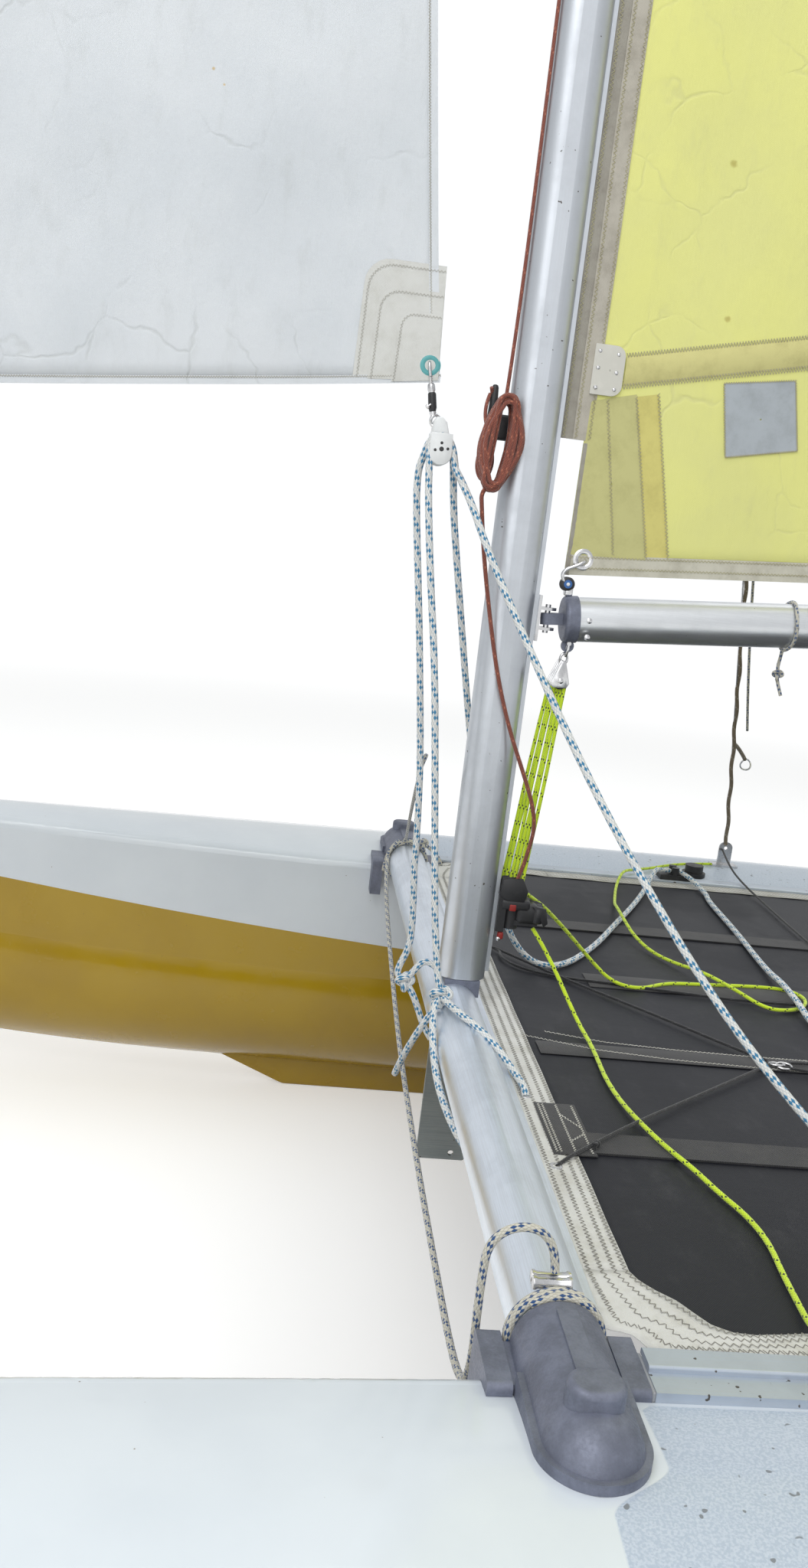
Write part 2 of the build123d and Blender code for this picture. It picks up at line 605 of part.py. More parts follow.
def horn_cleat():
    """A two-horned cleat on the mast's front."""
    front = MAST_X + MAST_CHORD / 2
    reach, width, height = HORN_PAD
    cleat = block(MAST_X, front + reach, -width / 2, width / 2, HORN_Z - height / 2, HORN_Z + height / 2)
    cleat -= extrude(mast_outline(MAST_CHORD + FIT, MAST_WIDTH + FIT), 2 * HORN_Z)
    return cleat + upright(front + reach, 0, HORN_Z - HORN / 2, HORN_Z + HORN / 2, HORN_RADIUS)


# Boom and mainsail

def tilt_boom(part):
    """Turns a piece made on a level boom to the boom's real rise about the gooseneck."""
    hinge = Pos(GOOSENECK_X, 0, GOOSENECK_Z)
    return hinge * Rot(0, BOOM_RISE, 0) * hinge.inverse() * part


def boom_point(x, lift):
    """X and Z of a place on the tilted boom, from X on the level boom and a height over its axis."""
    back = x - GOOSENECK_X
    rise = radians(BOOM_RISE)
    x = GOOSENECK_X + back * cos(rise) + lift * sin(rise)
    return x, GOOSENECK_Z - back * sin(rise) + lift * cos(rise)


def level_bar(x0, x1, radius):
    return rod((x0, 0, GOOSENECK_Z), (x1, 0, GOOSENECK_Z), radius)


def boom():
    tube = level_bar(BOOM_FRONT_X, BOOM_BACK_X, BOOM_RADIUS)
    return tilt_boom(tube - level_bar(BOOM_FRONT_X, BOOM_BACK_X, BOOM_RADIUS - BOOM_WALL))


def boom_front_casting():
    """The end casting, with a flat tongue on the gooseneck's pin and an eye underneath."""
    end = BOOM_FRONT_X + BOOM_CAP
    casting = level_bar(end, BOOM_FRONT_X, BOOM_RADIUS + BOOM_CAP_RIM)
    casting = fillet(casting.edges().group_by(Axis.X)[-1], BOOM_CAP_CORNER)
    low, high = GOOSENECK_Z - TONGUE / 2, GOOSENECK_Z + TONGUE / 2
    casting += block(end, GOOSENECK_X, -TONGUE_WIDTH / 2, TONGUE_WIDTH / 2, low, high)
    casting += upright(GOOSENECK_X, 0, low, high, TONGUE_WIDTH / 2)
    eye_x, eye_z = BOOM_FRONT_X + BOOM_CAP / 2, GOOSENECK_Z - BOOM_RADIUS - BOOM_EYE_DROP
    casting += rod((eye_x, -BOOM_EYE / 2, eye_z), (eye_x, BOOM_EYE / 2, eye_z), BOOM_EYE_RADIUS)
    bore_z = eye_z - BOOM_EYE_RADIUS / 4
    casting -= rod((eye_x, -BOOM_EYE, bore_z), (eye_x, BOOM_EYE, bore_z), BOOM_EYE_BORE)
    return tilt_boom(casting) - upright(GOOSENECK_X, 0, 0, 2 * GOOSENECK_Z, PIN_RADIUS + RUN)


def boom_back_casting():
    end = BOOM_BACK_X - BOOM_CAP
    casting = level_bar(BOOM_BACK_X, end, BOOM_RADIUS + BOOM_CAP_RIM)
    casting = fillet(casting.edges().group_by(Axis.X)[0], BOOM_CAP_CORNER)
    length, thickness = BOOM_FIN
    half = thickness / 2
    casting += block(end - length, end, -half, half, GOOSENECK_Z + FIN_BOTTOM, GOOSENECK_Z + FIN_TOP)
    for lift in (OUTHAUL_LIFT, SHEET_LIFT):
        eye_x, eye_z = end - length / 2, GOOSENECK_Z + lift
        casting -= rod((eye_x, -half, eye_z), (eye_x, half, eye_z), PIN_RADIUS)
    return tilt_boom(casting)


def sail_corners():
    """Luff X, tack and clew of the mainsail."""
    tack, clew = (boom_point(x, SAIL_FOOT_LIFT) for x in (TACK_X, SAIL_CLEW_X))
    return track_face_x() - LUFF_GAP, tack, clew


def mainsail():
    luff, tack, clew = sail_corners()
    head = (luff - SAIL_HEAD, SAIL_HEAD_Z)
    outline = Polyline(clew, tack, (TACK_X, TAPE_END_Z), (luff, TAPE_END_Z), (luff, SAIL_HEAD_Z), head)
    outline += ThreePointArc(head, (ROACH_X, ROACH_Z), clew)
    return side_plate(outline, SAIL / 2)


def battens(sail):
    """Full-length battens on the sail's port face, trimmed to the leech."""
    luff = sail_corners()[0]
    onto_face = Pos(0, (SAIL + BATTEN) / 2, 0)
    trimmed = Pos(BATTEN_SETBACK, 0, 0) * sail
    half = BATTEN_WIDTH / 2
    front = luff - BATTEN_SETBACK
    back = front + SAIL_CLEW_X
    strips = []
    for z in BATTEN_LUFF_Z:
        rise = BATTEN_RISE * (front - back)
        outline = Polyline((front, z - half), (front, z + half), (back, z + rise + half),
                           (back, z + rise - half), close=True)
        strips.append(onto_face * (side_plate(outline, BATTEN / 2) & trimmed))
    return strips


# Standing rigging and jib

def eye_plate(x, y, width, base, base_z, top_z, eye_z):
    """An upright plate with an eye, on a base that the deck will cut."""
    low = GUNWALE_Z - FITTING_FOOT
    half = CHAINPLATE / 2
    plate = block(x - width / 2, x + width / 2, y - half, y + half, low, top_z)
    plate = fillet(plate.edges().filter_by(Axis.Y).group_by(Axis.Z)[-1], width / 2 - CHAINPLATE / 2)
    length, breadth = base
    plate += block(x - length / 2, x + length / 2, y - breadth / 2, y + breadth / 2, low, base_z)
    return plate - rod((x, y - CHAINPLATE, eye_z), (x, y + CHAINPLATE, eye_z), PIN_RADIUS)


def chainplate():
    """The shroud's plate on the deck."""
    return eye_plate(SHROUD_X, SHROUD_Y, CHAINPLATE_WIDTH, CHAINPLATE_BASE, CHAINPLATE_BASE_Z,
                     CHAINPLATE_TOP_Z, CHAINPLATE_EYE_Z)


def bow_tang():
    """The bridle's plate on the foredeck."""
    return eye_plate(BRIDLE_X, HULL_Y, TANG_WIDTH, TANG_BASE, TANG_BASE_Z, TANG_TOP_Z, TANG_EYE_Z)


def stay_shackle():
    return Pos(STAY_SHACKLE_X, 0, STAY_SHACKLE_Z) * Box(*STAY_SHACKLE)


def apex_link():
    return Pos(APEX_X, 0, APEX_Z) * Box(*APEX_LINK)


def shroud():
    foot = (SHROUD_X, SHROUD_Y, CHAINPLATE_TOP_Z)
    return rod(foot, (HOUND_X, SHROUD_END_Y, HOUND_Z), WIRE_RADIUS) - stay_shackle() - chainplate()


def bridle():
    foot = (BRIDLE_X, HULL_Y, TANG_TOP_Z)
    return rod(foot, (APEX_X, BRIDLE_END_Y, APEX_Z), WIRE_RADIUS) - apex_link() - bow_tang()


def stay_x(z):
    """X of the forestay's axis at a height."""
    return APEX_X + (HOUND_X - APEX_X) * (z - APEX_Z) / (HOUND_Z - APEX_Z)


def forestay():
    wire = rod((APEX_X, 0, APEX_Z), (HOUND_X, 0, HOUND_Z), WIRE_RADIUS)
    return wire - stay_shackle() - apex_link()


def jib():
    lean = (APEX_X - HOUND_X) / (HOUND_Z - APEX_Z)
    back = (WIRE_RADIUS + JIB_GAP) * sqrt(1 + lean * lean)
    tack = (stay_x(JIB_TACK_Z) - back, JIB_TACK_Z)
    head = (stay_x(JIB_HEAD_Z) - back, JIB_HEAD_Z)
    head_back = (head[0] - JIB_HEAD, head[1])
    outline = ThreePointArc(tack, JIB_FOOT, JIB_CLEW) + ThreePointArc(JIB_CLEW, JIB_LEECH, head_back)
    outline += Polyline(head_back, head, tack)
    x, z = CLEW_EYE
    return side_plate(outline, JIB / 2) - rod((x, -JIB, z), (x, JIB, z), CLEW_BOLT + RUN)


def clew_block():
    """A double block that hangs from the jib's clew, with its strap up to the grommet."""
    x, z = CLEW_BLOCK
    half = CLEW_BLOCK_WIDTH / 2
    cheeks = rod((x, -half, z), (x, half, z), CLEW_BLOCK_RADIUS)
    cheeks = fillet(cheeks.edges().filter_by(GeomType.CIRCLE), CLEW_BLOCK_EDGE)
    eye_x, eye_z = CLEW_EYE
    half = CLEW_STRAP_WIDTH / 2
    top = eye_z + half
    outline = Polyline((x - half, z), (eye_x - half, top), (eye_x + half, top), (x + half, z), close=True)
    outside = JIB / 2 + CLEW_STRAP
    straps = side_plate(outline, outside) - side_plate(outline, JIB / 2 + FIT)
    bolt_end = outside + CLEW_STRAP
    return cheeks + straps + rod((eye_x, -bolt_end, eye_z), (eye_x, bolt_end, eye_z), CLEW_BOLT)


# Deck gear

def sheet_cleat():
    """A cam cleat on top of the rail."""
    length, width, height = SHEET_CLEAT
    cleat = Pos(SHEET_CLEAT_X, SHEET_CLEAT_Y, RAIL_TOP_Z + height / 2) * Box(length, width, height)
    for side in (1, -1):
        cam_y = SHEET_CLEAT_Y + side * CAM_SPREAD
        cleat += upright(SHEET_CLEAT_X, cam_y, RAIL_TOP_Z, RAIL_TOP_Z + CAM, CAM_RADIUS)
    return cleat


def deck_block(form):
    """A turning block lying on the deck beside the cleat."""
    part = upright(DECK_BLOCK_X, DECK_BLOCK_Y, DECK_BLOCK_FOOT_Z, DECK_BLOCK_TOP_Z, DECK_BLOCK_RADIUS)
    part += upright(DECK_BLOCK_X, DECK_BLOCK_Y, DECK_BLOCK_FOOT_Z, DECK_BLOCK_BASE_Z, DECK_BLOCK_BASE_RADIUS)
    return part - form


# Rudders, at the port hull

def gudgeons():
    """Two brackets on the transom, joined by the upright pin that the rudder turns on."""
    thickness, width, height = GUDGEON_PLATE
    over = (height - GUDGEON) / 2
    half = GUDGEON_WIDTH / 2
    top = max(GUDGEON_Z) + 3 * GUDGEON
    fitting = upright(RUDDER_AXIS_X, HULL_Y, min(GUDGEON_Z) - PIN_OVERHANG, top, PIN_RADIUS)
    for z in GUDGEON_Z:
        fitting += block(TRANSOM_X - thickness, TRANSOM_X, HULL_Y - width / 2, HULL_Y + width / 2, z - over,
                         z + GUDGEON + over)
        fitting += block(RUDDER_AXIS_X, TRANSOM_X, HULL_Y - half, HULL_Y + half, z, z + GUDGEON)
        fitting += upright(RUDDER_AXIS_X, HULL_Y, z, z + GUDGEON, half)
    return fitting


def rudder_stock():
    """Two cheeks on a spine, with lugs round the pin and a head that holds the tiller."""
    y0, y1 = HULL_Y - STOCK_HALF, HULL_Y + STOCK_HALF
    spine_back = STOCK_FRONT_X - STOCK_SPINE
    head_top = TILLER_Z + TILLER_RADIUS + TILLER_COVER
    stock = block(spine_back, STOCK_FRONT_X, y0, y1, min(GUDGEON_Z), head_top)
    stock += block(HEAD_BACK_X, spine_back, y0, y1, HEAD_BOTTOM_Z, head_top)
    for low, high in ((y0, y0 + CHEEK), (y1 - CHEEK, y1)):
        stock += block(STOCK_BACK_X, spine_back, low, high, CHEEK_BOTTOM_Z, CHEEK_TOP_Z)
        stock += block(HEAD_BACK_X, spine_back, low, high, CHEEK_TOP_Z, HEAD_BOTTOM_Z)
    x, z = BLADE_PIVOT
    stock += rod((x, y0 - BLADE_PIN_OVERHANG, z), (x, y1 + BLADE_PIN_OVERHANG, z), PIN_RADIUS)
    half = STOCK_LUG_WIDTH / 2
    for z in GUDGEON_Z:
        low = z + GUDGEON + RUN
        stock += block(RUDDER_AXIS_X, STOCK_FRONT_X, HULL_Y - half, HULL_Y + half, low, low + GUDGEON)
        stock += upright(RUDDER_AXIS_X, HULL_Y, low, low + GUDGEON, half)
        stock -= upright(RUDDER_AXIS_X, HULL_Y, low, low + GUDGEON, PIN_RADIUS + RUN)
    return stock


def rudder_blade():
    """A tapered board with a round root, turned up to its parked place."""
    x, z = BLADE_PIVOT
    shoulder = (x - BLADE_TRAILING, z - BLADE_SHOULDER)
    outline = Polyline(
        (x + BLADE_LEADING, z), (x + BLADE_LEADING, z - BLADE_EDGE), (x - BLADE_TIP[0], z - BLADE_LENGTH),
        (x - BLADE_TIP[1], z - BLADE_LENGTH), (x - BLADE_TRAILING, z - BLADE_BACK_EDGE),
        shoulder, (x - BLADE_ROOT, z), close=True)
    blade = side_plate(outline, BLADE / 2)
    blade += rod((x, -BLADE / 2, z), (x, BLADE / 2, z), BLADE_ROOT)
    blade -= rod((x, -BLADE, z), (x, BLADE, z), PIN_RADIUS + RUN)
    hinge = Pos(x, 0, z)
    return Pos(0, HULL_Y, 0) * hinge * Rot(0, BLADE_RAISED, 0) * hinge.inverse() * blade


def tiller():
    bar = rod((STOCK_FRONT_X, HULL_Y, TILLER_Z), (TILLER_FRONT_X, HULL_Y, TILLER_Z), TILLER_RADIUS)
    collar_top = LINK_Z - LINK_BLOCK / 2 - RUN
    bar += upright(LINK_X, HULL_Y, TILLER_Z, collar_top, TILLER_COLLAR_RADIUS)
    return bar + upright(LINK_X, HULL_Y, TILLER_Z, LINK_Z + LINK_BLOCK / 2 + PIN_OVERHANG, PIN_RADIUS)


def crossbar():
    """A tube with a pinned block over each tiller and the pin for the extension in its middle."""
    half = LINK_BLOCK / 2
    bar = rod((LINK_X, -HULL_Y, LINK_Z), (LINK_X, HULL_Y, LINK_Z), TILLER_RADIUS)
    for y in (-HULL_Y, 0, HULL_Y):
        bar += block(LINK_X - half, LINK_X + half, y - half, y + half, LINK_Z - half, LINK_Z + half)
    for y in (-HULL_Y, HULL_Y):
        bar -= upright(LINK_X, y, LINK_Z - half, LINK_Z + half, PIN_RADIUS + RUN)
    return bar + upright(LINK_X, 0, LINK_Z, EXTENSION_Z + half + PIN_OVERHANG, PIN_RADIUS)


def tiller_extension():
    """A hand tube pinned over the crossbar's middle, parked along it."""
    half = LINK_BLOCK / 2
    low = LINK_Z + half + RUN
    high = EXTENSION_Z + half
    bar = upright(LINK_X, 0, low, high, half)
    bar += rod((LINK_X, 0, EXTENSION_Z), (LINK_X, EXTENSION, EXTENSION_Z), EXTENSION_RADIUS)
    return bar - upright(LINK_X, 0, low, high, PIN_RADIUS + RUN)


# Ropes

def corner_radii(points):
    """The arc at each bend of a route, as large as its two runs allow."""
    radii = []
    for before, here, after in zip(points, points[1:], points[2:]):
        run_in = Vector(*here) - Vector(*before)
        run_out = Vector(*after) - Vector(*here)
        half_turn = radians(run_in.get_angle(run_out)) / 2
        radii.append(ARC_SHARE * min(run_in.length, run_out.length) / tan(half_turn))
    return radii


def rope(name):
    """A round rope along straight runs joined by tangent arcs."""
    diameter, points = ROUTES[name]
    radii = corner_radii(points)
    path = FilletPolyline(*points, radius=radii)
    tube = sweep(Plane(origin=path @ 0, z_dir=path % 0) * Circle(diameter / 2), path=path)
    share = tube.volume / (pi * diameter ** 2 / 4 * path.length)
    print(f"{name}: {path.length:.0f} mm, tightest arc {min(radii):.0f} mm or {min(radii) / diameter:.1f}",
          f"diameters, volume {share:.3f} of section times length")
    return tube


def rope_ferrule():
    """The ferrule that ends a rope on top of the front beam."""
    length, width = FERRULE
    back, inner = FERRULE_X - length / 2, FERRULE_Y - width / 2
    ferrule = block(back, back + length, inner, inner + width, BEAM_RADIUS / 2, FERRULE_TOP_Z)
    ferrule = fillet(ferrule.edges().filter_by(Axis.Y).group_by(Axis.Z)[-1], width / 3)
    return ferrule - rod((0, 0, 0), (0, NECK_Y, 0), BEAM_RADIUS + FIT)


def halyard_coil():
    """The outer shape of the hank that hangs on the horn cleat, beside the mast."""
    hank = extrude(Ellipse(COIL_HALF_WIDTH, COIL_HALF_HEIGHT), COIL / 2, both=True)
    hank = fillet(hank.edges(), COIL / 4)
    return Pos(COIL_X, MAST_WIDTH / 2 + RUN + COIL / 2, COIL_Z) * Rot(90, 0, 0) * hank


def build():
    """Every piece by name, in the front beam's frame."""
    form = hull_form()
    sail = mainsail()
    pieces = hulls(form)
    pieces |= pair("front_casting", corner_casting(0, form))
    pieces |= pair("rear_casting", corner_casting(REAR_BEAM_X, form))
    pieces |= {"front_beam": beam(0, -1), "rear_beam": beam(REAR_BEAM_X, 1), "tramp_rails": two(rail(form))}
    pieces |= {"centre_plate": centre_plate(), "traveller_track": traveller_track()}
    pieces |= {"trampoline": trampoline(), "toe_straps": two(toe_strap())}
    pieces |= {"mast_step": mast_step(), "mast_foot": mast_foot(), "mast": mast(), "masthead": masthead()}
    pieces |= {"gooseneck": gooseneck(), "downhaul_cleat": downhaul_cleat(), "halyard_cleat": horn_cleat()}
    pieces |= {"boom": boom()}
    pieces |= {"boom_front_casting": boom_front_casting(), "boom_back_casting": boom_back_casting()}
    pieces |= {"mainsail": sail, "battens": Compound(children=battens(sail))}
    pieces |= {"chainplates": two(chainplate() - form), "bow_tangs": two(bow_tang() - form)}
    pieces |= {"stay_shackle": stay_shackle(), "apex_link": apex_link(), "forestay": forestay()}
    pieces |= {"shrouds": two(shroud()), "bridles": two(bridle()), "jib": jib(), "clew_block": clew_block()}
    pieces |= {"sheet_cleats": two(sheet_cleat()), "deck_blocks": two(deck_block(form))}
    pieces |= {"gudgeons": two(gudgeons()), **pair("rudder_stock", rudder_stock())}
    pieces |= {**pair("rudder_blade", rudder_blade()), **pair("tiller", tiller())}
    pieces |= {"crossbar": crossbar(), "tiller_extension": tiller_extension()}
    pieces |= {name: rope(name) for name in ROUTES}
    pieces |= {"rope_ferrule": rope_ferrule(), "rope_halyard_coil": halyard_coil()}
    return pieces


def to_bottom_centre(pieces):
    """The move that puts the origin at the bottom centre of the whole boat's box."""
    boxes = [piece.bounding_box() for piece in pieces.values()]
    low = [min(corner) for corner in zip(*[tuple(box.min) for box in boxes])]
    high = [max(corner) for corner in zip(*[tuple(box.max) for box in boxes])]
    return Pos(-(low[0] + high[0]) / 2, -(low[1] + high[1]) / 2, -low[2])


def main():
    pieces = build()
    shift = to_bottom_centre(pieces)
    os.makedirs("parts", exist_ok=True)
    for name, piece in pieces.items():
        export_step(shift * piece, f"parts/{name}.step")
    moved = shift.position
    print(f"{len(pieces)} pieces; front beam's axis at X {moved.X:.3f} Z {moved.Z:.3f}")


if __name__ == "__main__":
    main()
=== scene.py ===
import json
from math import atan2, cos, dist, pi, radians, sin, tau

import bpy
from mathutils import Matrix, Vector


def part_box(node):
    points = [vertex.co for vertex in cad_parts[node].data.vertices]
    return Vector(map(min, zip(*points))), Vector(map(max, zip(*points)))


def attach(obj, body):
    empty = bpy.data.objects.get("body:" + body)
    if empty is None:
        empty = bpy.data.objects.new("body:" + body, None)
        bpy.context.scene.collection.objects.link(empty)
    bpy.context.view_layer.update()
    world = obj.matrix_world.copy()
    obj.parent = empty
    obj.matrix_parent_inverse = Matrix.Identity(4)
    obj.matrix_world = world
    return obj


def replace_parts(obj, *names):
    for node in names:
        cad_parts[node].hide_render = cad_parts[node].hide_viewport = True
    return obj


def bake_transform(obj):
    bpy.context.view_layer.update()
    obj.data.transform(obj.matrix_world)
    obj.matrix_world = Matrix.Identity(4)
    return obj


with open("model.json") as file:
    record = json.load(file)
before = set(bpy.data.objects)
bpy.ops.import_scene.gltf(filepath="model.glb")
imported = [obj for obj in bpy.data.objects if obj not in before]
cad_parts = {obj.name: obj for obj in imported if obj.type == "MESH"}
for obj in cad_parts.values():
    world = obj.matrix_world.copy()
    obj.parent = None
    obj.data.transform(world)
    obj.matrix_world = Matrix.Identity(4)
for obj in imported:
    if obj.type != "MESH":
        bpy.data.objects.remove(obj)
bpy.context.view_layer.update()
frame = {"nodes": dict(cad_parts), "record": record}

# Places are millimetres from the middle of the front beam's axis, as in part.py: X forward, Y to port,
# Z up. place() turns them into metres of the row's frame.
MM = 0.001
BEAM_RADIUS = 38
beam_low, beam_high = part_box("front_beam")
ORIGIN = Vector((beam_high.x - BEAM_RADIUS * MM, 0, (beam_low.z + beam_high.z) / 2))
FORWARD, ACROSS, UP = Matrix.Identity(3)


def place(x, y, z):
    return ORIGIN + MM * Vector((x, y, z))


# Camera: on the port side, looking to starboard with the bows to the left

CAMERA_PLACE = (290.4, 1770.5, 674)
CAMERA_YAW = 0.1035
CAMERA_PITCH = 0.1946
CAMERA_ROLL = 0.1173
FOCAL_PIXELS = 1649.2
PHOTO_HEIGHT = 2048
SENSOR = 36


def make_camera():
    level = cos(CAMERA_PITCH)
    forward = Vector((-sin(CAMERA_YAW) * level, -cos(CAMERA_YAW) * level, -sin(CAMERA_PITCH)))
    right = forward.cross(UP).normalized()
    up = right.cross(forward)
    turned_right = right * cos(CAMERA_ROLL) + up * sin(CAMERA_ROLL)
    turned_up = up * cos(CAMERA_ROLL) - right * sin(CAMERA_ROLL)
    camera = bpy.data.objects.new("camera", bpy.data.cameras.new("camera"))
    bpy.context.collection.objects.link(camera)
    turn = Matrix((turned_right, turned_up, -forward)).transposed().to_4x4()
    camera.matrix_world = Matrix.Translation(place(*CAMERA_PLACE)) @ turn
    camera.data.sensor_width = SENSOR
    camera.data.lens = FOCAL_PIXELS / PHOTO_HEIGHT * SENSOR
    camera.data.clip_start = 0.01
    bpy.context.scene.camera = camera


# Materials

def scaled(color, factor, lift=0.0):
    return tuple(min(1, factor * share + lift) for share in color)


def opaque(value):
    """A colour of three numbers with its fourth. Anything else stays as it is."""
    return (*value, 1) if isinstance(value, tuple) else value


class Tree:
    """The node tree of a material or of the world, with short calls for its nodes."""

    def __init__(self, owner):
        owner.use_nodes = True
        self.tree = owner.node_tree

    def give(self, socket, value):
        if isinstance(value, bpy.types.NodeSocket):
            self.tree.links.new(value, socket)
        else:
            socket.default_value = value

    def node(self, kind, values, out=0, **settings):
        made = self.tree.nodes.new("ShaderNode" + kind)
        for setting, value in settings.items():
            setattr(made, setting, value)
        for key, value in values.items():
            self.give(made.inputs[key], value)
        return made.outputs[out]

    def math(self, operation, first, *others):
        """An operation over all its values from left to right, or on a single one."""
        for other in others or (0.0,):
            first = self.node("Math", {0: first, 1: other}, operation=operation)
        return first

    def seen(self, *rays):
        """1 for what the camera sees by these rays, such as Camera or Glossy, and 0 for light on its way."""
        path = self.tree.nodes.new("ShaderNodeLightPath")
        return self.math("MAXIMUM", *(path.outputs[f"Is {ray} Ray"] for ray in rays))


class Finish(Tree):
    """A material."""

    def __init__(self, name, **surface):
        self.material = bpy.data.materials.new(name)
        super().__init__(self.material)
        self.places = {}
        self.surface(**surface)

    def surface(self, **values):
        """Sets the shader's sockets: base_color=... is Base Color."""
        for word, value in values.items():
            socket = " ".join(part[0].upper() + part[1:] for part in word.split("_"))
            self.give(self.tree.nodes["Principled BSDF"].inputs[socket], opaque(value))

    def mix(self, share, first, second):
        return self.node("Mix", {0: share, 6: opaque(first), 7: opaque(second)}, out=2, data_type="RGBA")

    def spread(self, value, low, high, bottom=0.0, top=1.0):
        """A smooth step from bottom at low to top at high."""
        return self.node("MapRange", {0: value, 1: low, 2: high, 3: bottom, 4: top},
                         interpolation_type="SMOOTHSTEP")

    def object_place(self, stretch=(1, 1, 1)):
        if stretch not in self.places:
            self.places[stretch] = self.node("Mapping", {0: self.node("TexCoord", {}, out=3), 3: stretch})
        return self.places[stretch]

    def axis(self, letter, where=None):
        return self.node("SeparateXYZ", {0: where or self.object_place()}, out="XYZ".index(letter))

    def noise(self, scale, detail, stretch=(1, 1, 1), roughness=0.55):
        return self.node("TexNoise", {"Vector": self.object_place(stretch), "Scale": scale, "Detail": detail,
                                      "Roughness": roughness})

    def cloud(self, scale, detail, low, high, bottom=0.0, top=1.0, **kind):
        """Noise through a smooth step."""
        return self.spread(self.noise(scale, detail, **kind), low, high, bottom, top)

    def bumped(self, strength, distance, *layers):
        """The material, with a relief that adds up layers, each a height and its share."""
        height = self.math("ADD", *(self.math("MULTIPLY", *layer) for layer in layers))
        self.surface(normal=self.node("Bump", {"Strength": strength, "Distance": distance, "Height": height}))
        return self.material


def gelcoat(name, color, worn, speck):
    """Polished gelcoat with faint clouds, dust specks and fine scratches."""
    finish = Finish(name, coat_weight=0.25, coat_roughness=0.08, specular_IOR_level=0.4)
    tint = finish.mix(finish.cloud(3, 5, 0.35, 0.7), color, worn)
    dirt = finish.math("MULTIPLY", finish.cloud(160, 1, 0.76, 0.8), finish.cloud(9, 2, 0.5, 0.7))
    finish.surface(base_color=finish.mix(dirt, tint, speck),
                   roughness=finish.cloud(14, 6, 0.3, 0.75, 0.14, 0.3))
    return finish.bumped(0.04, 0.001, (finish.noise(60, 4, (0.15, 1, 1)), 1))


# The non-skid area on a deck, in millimetres: its front edge steps forward from FRONT_X to NOSE_X
NONSKID_FRONT_X = -58
NONSKID_NOSE_X = -3
NONSKID_STEP_Y = (950, 1004)
NONSKID_BACK_X = -1980
NONSKID_INNER_Y = 871
NONSKID_OUTER_Y = 1112
NONSKID_LOW_Z = (-22, -18)
NONSKID_ROUNDING = (9, 8)
NONSKID_BLUR = 1.2


def deck_gelcoat(name):
    """White gelcoat with a pale grey non-skid area aft of each front casting, inside a rounded border."""
    finish = Finish(name, coat_weight=0.5, coat_roughness=0.07)
    x, y, z = finish.axis("X"), finish.math("ABSOLUTE", finish.axis("Y")), finish.axis("Z")

    def border(value, at, bottom=0, top=1):
        return finish.spread(value, at - NONSKID_BLUR * MM, at + NONSKID_BLUR * MM, bottom, top)

    front = finish.spread(y, *(step * MM for step in NONSKID_STEP_Y), place(NONSKID_FRONT_X, 0, 0).x,
                          place(NONSKID_NOSE_X, 0, 0).x)
    width, depth = NONSKID_ROUNDING
    rounding = finish.spread(y, NONSKID_INNER_Y * MM, (NONSKID_INNER_Y + width) * MM, depth * MM, 0)
    aft = border(finish.math("ADD", finish.math("SUBTRACT", x, front), rounding), 0, 1, 0)
    top = finish.spread(z, *(place(0, 0, low).z for low in NONSKID_LOW_Z))
    patch = finish.math("MULTIPLY", aft, border(y, NONSKID_INNER_Y * MM),
                        border(y, NONSKID_OUTER_Y * MM, 1, 0), top, border(x, place(NONSKID_BACK_X, 0, 0).x))
    white = finish.mix(finish.cloud(4, 5, 0.35, 0.7), (0.68, 0.73, 0.775), (0.63, 0.68, 0.73))
    white = finish.mix(finish.cloud(120, 1, 0.8, 0.83), white, (0.3, 0.28, 0.25))
    sand = finish.noise(420, 2)
    grey = finish.mix(finish.spread(sand, 0.4, 0.62), (0.42, 0.49, 0.59), (0.52, 0.58, 0.67))
    grey = finish.mix(finish.cloud(95, 1, 0.72, 0.76), grey, (0.2, 0.22, 0.25))
    finish.surface(base_color=finish.mix(patch, white, grey),
                   roughness=finish.spread(patch, 0, 1, 0.18, 0.75))
    return finish.bumped(0.35, 0.001, (patch, sand))


def anodised(name, color, along, specks=0.77, metallic=0.88):
    """Silver tube, rail or plate: drawing lines along an axis, dull patches, dark specks, light scratches."""
    finish = Finish(name, metallic=metallic, anisotropic=0.3)
    lines = finish.noise(700, 3, tuple(0.02 if letter == along else 1 for letter in "XYZ"))
    dull = finish.cloud(9, 6, 0.4, 0.68, roughness=0.7)
    pits = finish.cloud(130, 1.5, specks, specks + 0.04)
    tint = finish.mix(dull, color, scaled(color, 0.9))
    tint = finish.mix(finish.spread(lines, 0.35, 0.65, 0, 0.2), tint, (0.5, 0.51, 0.53))
    rough = finish.math("ADD", finish.spread(dull, 0, 1, 0.36, 0.44), finish.spread(pits, 0, 1, 0, 0.35))
    finish.surface(base_color=finish.mix(pits, tint, (0.12, 0.11, 0.10)), roughness=rough)
    return finish.bumped(0.04, 0.0003, (lines, 1))


def cast_metal(name, color):
    """Rough sand-cast aluminium, oxidised, with lighter rubbed places and pits."""
    finish = Finish(name, metallic=0.45, specular_IOR_level=0.4)
    coarse = finish.noise(38, 8, roughness=0.7)
    grain = finish.noise(420, 4)
    tint = finish.mix(finish.spread(coarse, 0.35, 0.68), scaled(color, 0.72), color)
    tint = finish.mix(finish.cloud(16, 5, 0.55, 0.75, 0, 0.45), tint, scaled(color, 1.45))
    finish.surface(base_color=tint, roughness=finish.spread(grain, 0.3, 0.7, 0.42, 0.62))
    return finish.bumped(0.3, 0.0012, (coarse, 0.5), (grain, 0.2))


